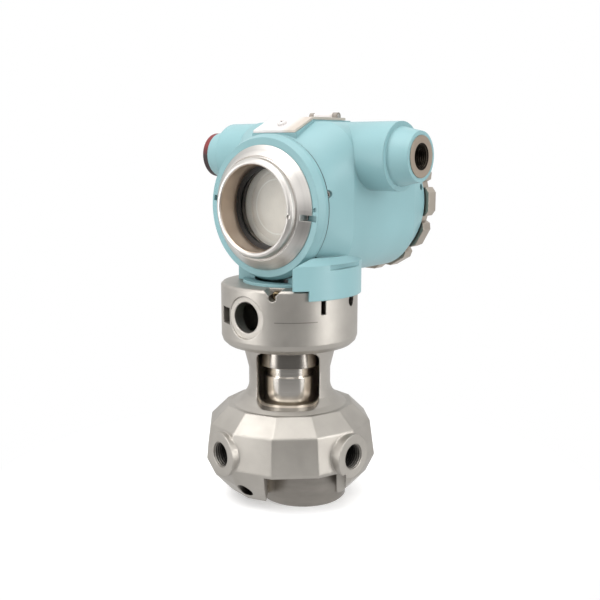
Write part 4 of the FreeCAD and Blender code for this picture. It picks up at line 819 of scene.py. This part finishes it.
@dataclass(frozen=True)
class Screws:
    """Every visible screw head, with its driving recess in place of the plain solid.

    Attributes:
        cell_turn: Turn of the cell against the housing, in degrees.
        swivel_lock_turn: Turn of the swivel's lock screw against the cell, in degrees.
        cover_lock_rise: Angle above level of the covers' lock screws, in degrees.
        lid_slope: Slope of the lid over the keys, in radians.
        lid_face: A point on the box's sloping face below the lid's screw.
        lid_lift: Height of that screw's top above the sloping face.
        display_circle: Radius on which the display's screws sit.
        twist: Largest turn of a head about its own axis, in radians.
    """

    cell_turn: float = 36.0
    swivel_lock_turn: float = -10.7
    cover_lock_rise: float = 12.5
    lid_slope: float = math.atan2(9.3, 20.0)
    lid_face: Point = (0.0, -0.007, 0.27265)
    lid_lift: float = 0.003813
    display_circle: float = 0.034
    display_turns: tuple[float, ...] = (90.0, 210.0, 330.0)
    terminal_pitch: float = 0.015
    twist: float = 1.2
    lid_head: Head = Head(0.0034, 0.002, Drive.CROSS)
    lock_head: Head = Head(0.0024, 0.005, Drive.HEX)
    swivel_head: Head = Head(0.0026, 0.0052, Drive.HEX)
    display_head: Head = Head(0.002, 0.0012, Drive.CROSS)
    terminal_head: Head = Head(0.004, 0.002, Drive.SLOT, 0.8)
    ground_head: Head = Head(0.0045, 0.003, Drive.SLOT, 0.8)

    def build(self, repeater: Repeater, finishes: dict[str, bpy.types.Material]) -> None:
        """Seat the heads and hide the solids that they stand for."""
        slope_way = Vector((0.0, -math.sin(self.lid_slope), math.cos(self.lid_slope)))
        lid_top = Vector(self.lid_face) + slope_way * self.lid_lift
        rise = math.radians(self.cover_lock_rise)
        lock_way = Vector((math.cos(rise), 0.0, math.sin(rise)))
        swivel_way = level_way(self.cell_turn + self.swivel_lock_turn)
        ahead, behind, left = Vector((0, -1, 0)), Vector((0, 1, 0)), Vector((-1, 0, 0))
        rows = [("key_cover_screw", "key_cover", self.lid_head, [lid_top], slope_way)]
        for node in ("front_lock_screw", "rear_lock_screw"):
            top = middle(node) + lock_way * (self.lock_head.height / 2)
            rows.append((node, "housing", self.lock_head, [top], lock_way))
        top = middle("swivel_lock_screw") + swivel_way * (self.swivel_head.height / 2)
        rows.append(("swivel_lock_screw", "cell", self.swivel_head, [top], swivel_way))
        front = Vector((0.0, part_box("display_screws")[0][1], DISPLAY_AXIS[2]))
        turns = [math.radians(turn) for turn in self.display_turns]
        tops = [front + Vector((math.cos(t), 0.0, math.sin(t))) * self.display_circle for t in turns]
        rows.append(("display_screws", "housing", self.display_head, tops, ahead))
        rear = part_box("terminal_screws")[1][1]
        tops = [Vector((k * self.terminal_pitch, rear, DISPLAY_AXIS[2])) for k in (-1, 0, 1)]
        rows.append(("terminal_screws", "housing", self.terminal_head, tops, behind))
        for node, way in (("inner_ground_screw", behind), ("ground_screw", left)):
            low, high = (Vector(corner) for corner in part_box(node))
            top = (low + high) / 2 + way * (abs((high - low).dot(way)) / 2)
            rows.append((node, "housing", self.ground_head, [top], way))
        for row in rows:
            self.seat(repeater, finishes, *row)

    def seat(self, repeater: Repeater, finishes: dict[str, bpy.types.Material], node: str, body: str,
             head: Head, tops: Sequence[Vector], way: Vector) -> None:
        """Put one kind of head at its seats.

        Args:
            repeater: The tree that repeats it.
            finishes: Materials by slot.
            node: The plain solid that it stands for.
            body: The body that carries it.
            head: Its shape.
            tops: The middle of each head's top.
            way: The direction that the heads face.
        """
        slots = {entry["node"]: entry["material_slot"] for entry in frame["record"]["subparts"]}
        slot = slots["key_cover" if body == "key_cover" else node]
        places = [(tuple(top), tuple(way)) for top in tops]
        made = repeater.run(node + "_heads", head.mesh(), places, finishes[slot], self.twist)
        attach(made, body)
        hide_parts(node)
        LOG.info("%s: %d heads", made.name, len(tops))


@dataclass(frozen=True)
class Threads:
    """Thread crests in the cable entry and in both process ports."""

    entry_wall: float = 0.0092
    entry_crest: float = 0.0085
    entry_pitch: float = 0.0015
    port_crest: float = 0.0085
    port_pitch: float = 0.001814
    port_count: int = 9
    port_face: float = 0.0605

    def build(self, repeater: Repeater, finishes: dict[str, bpy.types.Material]) -> None:
        """Cut all three threads."""
        low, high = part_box("thread_insert")
        count = int((high[0] - low[0]) / self.entry_pitch) - 1
        places = [((high[0] - self.entry_pitch * (i + 1), ENTRY_AXIS[1], ENTRY_AXIS[2]), (1.0, 0.0, 0.0))
                  for i in range(count)]
        ridge = Ridge(self.entry_wall, self.entry_crest, self.entry_pitch)
        made = repeater.run("entry_thread", ridge.mesh(), places, finishes["bare_metal"])
        self.seat(made, "housing", "bare_metal")
        for hand, turn in PORT_TURNS.items():
            way = level_way(turn)
            start = way * self.port_face + Vector((0.0, 0.0, PORT_HEIGHT))
            places = [(tuple(start - way * self.port_pitch * i), tuple(way)) for i in range(self.port_count)]
            ridge = Ridge(PORT_WALL, self.port_crest, self.port_pitch)
            made = repeater.run("port_thread_" + hand, ridge.mesh(), places, finishes["cast_steel"])
            self.seat(made, "cell", "cast_steel")

    @staticmethod
    def seat(made: bpy.types.Object, body: str, slot: str) -> None:
        """Say what carries a thread."""
        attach(made, body)
        LOG.info("%s on %s", made.name, body)


# ---------------------------------------------------------------- stage


@dataclass(frozen=True)
class Softbox:
    """A soft light that faces the part, placed by degrees from -Y towards +X and above level."""

    name: str
    azimuth: float
    elevation: float
    distance: float
    width: float
    height: float
    power: float
    colour: Colour = (1.0, 1.0, 1.0)

    def hang(self, aim: Vector) -> None:
        """Put the light in the scene, facing a point."""
        data = bpy.data.lights.new(self.name, "AREA")
        data.shape = "RECTANGLE"
        data.size, data.size_y = self.width, self.height
        data.energy = self.power
        data.color = self.colour
        lamp = bpy.data.objects.new(self.name, data)
        bpy.context.scene.collection.objects.link(lamp)
        away = raised_way(self.azimuth, self.elevation)
        lamp.location = aim + away * self.distance
        lamp.rotation_euler = (-away).to_track_quat("-Z", "Y").to_euler()


@dataclass(frozen=True)
class Stage:
    """Floor, surroundings, lights and camera.

    Attributes:
        floor_lift: Light that the floor gives of itself where the camera sees it.
        front_shade: Brightness of the room's front against its sides.
        floor_shade: Brightness of the floor's front against its sides, as metal mirrors it.
        floor_mirror: Brightness of the floor against the room, as metal mirrors it.
        white_from: Distance from the part at which the floor starts to fade to white.
        near_from: Distance from the part at which the floor's near brightness starts to fade.
        front_from: Cosine of the angle from the camera's side at which the front starts.
        low_from: Height on the room's ball, from -1 to 1, at which the room is darkest.
        low_room: Brightness there against the top.
    """

    azimuth: float = 38.5
    elevation: float = 9.9
    distance: float = 0.650
    lens: float = 53.04
    aim: Point = (0.00603, 0.00479, 0.1475)
    floor_size: float = 14.0
    floor_lift: float = 0.25
    room_level: float = 1.25
    front_shade: float = 0.60
    floor_shade: float = 0.20
    floor_mirror: float = 0.75
    floor_near: float = 0.95
    floor_bounce: Colour = (0.50, 0.50, 0.50)
    white_from: float = 0.09
    white_to: float = 0.24
    near_from: float = 0.15
    near_to: float = 0.45
    front_from: float = 0.62
    front_to: float = 0.74
    low_from: float = -0.25
    low_to: float = 0.85
    low_room: float = 0.45
    floor_tones: tuple[Colour, Colour] = ((0.88, 0.88, 0.88), (0.91, 0.91, 0.91))
    boxes: tuple[Softbox, ...] = (
        Softbox("left strip", -20.0, 12.0, 1.2, 0.30, 0.9, 3.5),
        Softbox("right strip", 94.0, 12.0, 1.2, 0.30, 0.9, 5.0),
        Softbox("low left strip", -24.0, -5.0, 0.45, 0.13, 0.22, 0.28),
        Softbox("low right strip", 101.0, -5.0, 0.45, 0.13, 0.22, 0.30),
        Softbox("key light", -10.0, 56.0, 1.3, 0.8, 0.6, 6.0),
        Softbox("front fill", 38.5, 20.0, 1.3, 0.9, 0.6, 1.6),
        Softbox("top light", 30.0, 84.0, 1.1, 0.8, 0.8, 4.4),
    )

    def camera(self) -> None:
        """Set the camera at the chosen angle."""
        data = bpy.data.cameras.new("camera")
        data.sensor_width = 36.0
        data.lens = self.lens
        data.clip_start, data.clip_end = 0.01, 60.0
        seat = bpy.data.objects.new("camera", data)
        bpy.context.scene.collection.objects.link(seat)
        back = raised_way(self.azimuth, self.elevation)
        seat.location = Vector(self.aim) + back * self.distance
        seat.rotation_euler = (-back).to_track_quat("-Z", "Y").to_euler()
        bpy.context.scene.camera = seat

    def surroundings(self) -> None:
        """White to the eye; to the part, a grey room with bright walls at both sides and a dark front."""
        world = bpy.data.worlds.new("room")
        world.use_nodes = True
        tree = world.node_tree
        tree.nodes.clear()
        out = tree.nodes.new("ShaderNodeOutputWorld")
        place = tree.nodes.new("ShaderNodeTexCoord")
        split = tree.nodes.new("ShaderNodeSeparateXYZ")
        tree.links.new(place.outputs["Generated"], split.inputs[0])
        rise = self.ramp(tree, split.outputs[2], self.low_from, self.low_to, self.low_room, 1.0)
        front = tree.nodes.new("ShaderNodeVectorMath")
        front.operation = "DOT_PRODUCT"
        tree.links.new(place.outputs["Generated"], front.inputs[0])
        front.inputs[1].default_value = level_way(self.azimuth)
        dark = self.ramp(tree, front.outputs["Value"], self.front_from, self.front_to, 1.0, self.front_shade)
        level = tree.nodes.new("ShaderNodeMath")
        level.operation = "MULTIPLY"
        tree.links.new(rise, level.inputs[0])
        tree.links.new(dark, level.inputs[1])
        room = tree.nodes.new("ShaderNodeBackground")
        tree.links.new(level.outputs[0], room.inputs["Color"])
        room.inputs["Strength"].default_value = self.room_level
        white = tree.nodes.new("ShaderNodeBackground")
        white.inputs["Color"].default_value = (1.0, 1.0, 1.0, 1.0)
        white.inputs["Strength"].default_value = 1.0
        ray = tree.nodes.new("ShaderNodeLightPath")
        mix = tree.nodes.new("ShaderNodeMixShader")
        tree.links.new(ray.outputs["Is Camera Ray"], mix.inputs[0])
        tree.links.new(room.outputs[0], mix.inputs[1])
        tree.links.new(white.outputs[0], mix.inputs[2])
        tree.links.new(mix.outputs[0], out.inputs["Surface"])
        bpy.context.scene.world = world

    @staticmethod
    def ramp(tree: bpy.types.NodeTree, source: Socket, start: float, end: float, low: float,
             high: float) -> Socket:
        """Return a value mapped from start..end on to low..high."""
        made = tree.nodes.new("ShaderNodeMapRange")
        for name, setting in (("From Min", start), ("From Max", end), ("To Min", low), ("To Max", high)):
            made.inputs[name].default_value = setting
        tree.links.new(source, made.inputs["Value"])
        return made.outputs[0]

    def floor(self) -> bpy.types.Object:
        """Return a plain white floor with the soft contact shadow, fading to white away from the part."""
        mesh = bpy.data.meshes.new("floor")
        half = self.floor_size / 2
        corners = [(-half, -half, 0), (half, -half, 0), (half, half, 0), (-half, half, 0)]
        mesh.from_pydata(corners, [], [(0, 1, 2, 3)])
        seat = bpy.data.objects.new("floor", mesh)
        bpy.context.scene.collection.objects.link(seat)
        g = Graph("floor white")
        ray = g.node("ShaderNodeLightPath")
        seen = ray.outputs["Is Camera Ray"]
        body = g.node("ShaderNodeBsdfDiffuse")
        pale = g.blend(g.noise(3.0, 2.0), *self.floor_tones)
        g.feed(body.inputs["Color"], g.blend(seen, self.floor_bounce, pale))
        glow = g.node("ShaderNodeEmission")
        g.feed(glow.inputs["Strength"], g.math("MULTIPLY", seen, self.floor_lift))
        near = g.node("ShaderNodeAddShader")
        g.feed(near.inputs[0], body.outputs[0])
        g.feed(near.inputs[1], glow.outputs[0])
        plain = g.node("ShaderNodeEmission")
        reach, _ = g.away("Z", ORIGIN)
        far = g.math("MULTIPLY", g.span(reach, 0.0, 1.0, self.white_from, self.white_to), seen)
        white = g.node("ShaderNodeMixShader")
        g.feed(white.inputs[0], far)
        g.feed(white.inputs[1], near.outputs[0])
        g.feed(white.inputs[2], plain.outputs[0])
        front = g.node("ShaderNodeVectorMath", operation="DOT_PRODUCT")
        straight = g.node("ShaderNodeVectorMath", operation="NORMALIZE")
        g.feed(straight.inputs[0], g.place)
        g.feed(front.inputs[0], straight.outputs[0])
        front.inputs[1].default_value = level_way(self.azimuth)
        mirrored = g.node("ShaderNodeEmission")
        side = self.room_level * self.floor_mirror
        ahead = front.outputs["Value"]
        far_off = g.span(ahead, side, side * self.floor_shade, self.front_from, self.front_to)
        close = g.span(reach, 1.0, 0.0, self.near_from, self.near_to)
        near_by = g.math("MULTIPLY", close, side * self.floor_near)
        g.feed(mirrored.inputs["Strength"], g.math("MAXIMUM", far_off, near_by))
        both = g.node("ShaderNodeMixShader")
        g.feed(both.inputs[0], ray.outputs["Is Glossy Ray"])
        g.feed(both.inputs[1], white.outputs[0])
        g.feed(both.inputs[2], mirrored.outputs[0])
        g.tree.links.new(both.outputs[0], g.out.inputs["Surface"])
        seat.data.materials.append(g.material)
        return seat

    def build(self) -> None:
        """Make the whole stage."""
        self.camera()
        self.surroundings()
        for box in self.boxes:
            box.hang(Vector(self.aim))
        self.floor()
        bpy.context.scene.view_settings.view_transform = "Standard"


def main() -> None:
    """Dress the solids, add the fittings and build the stage."""
    logging.basicConfig(level=logging.INFO)
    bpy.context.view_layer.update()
    finishes = dress(frame["nodes"], frame["record"])
    repeater = Repeater()
    Screws().build(repeater, finishes)
    Threads().build(repeater, finishes)
    Stage().build()


if __name__ == "__main__":
    main()
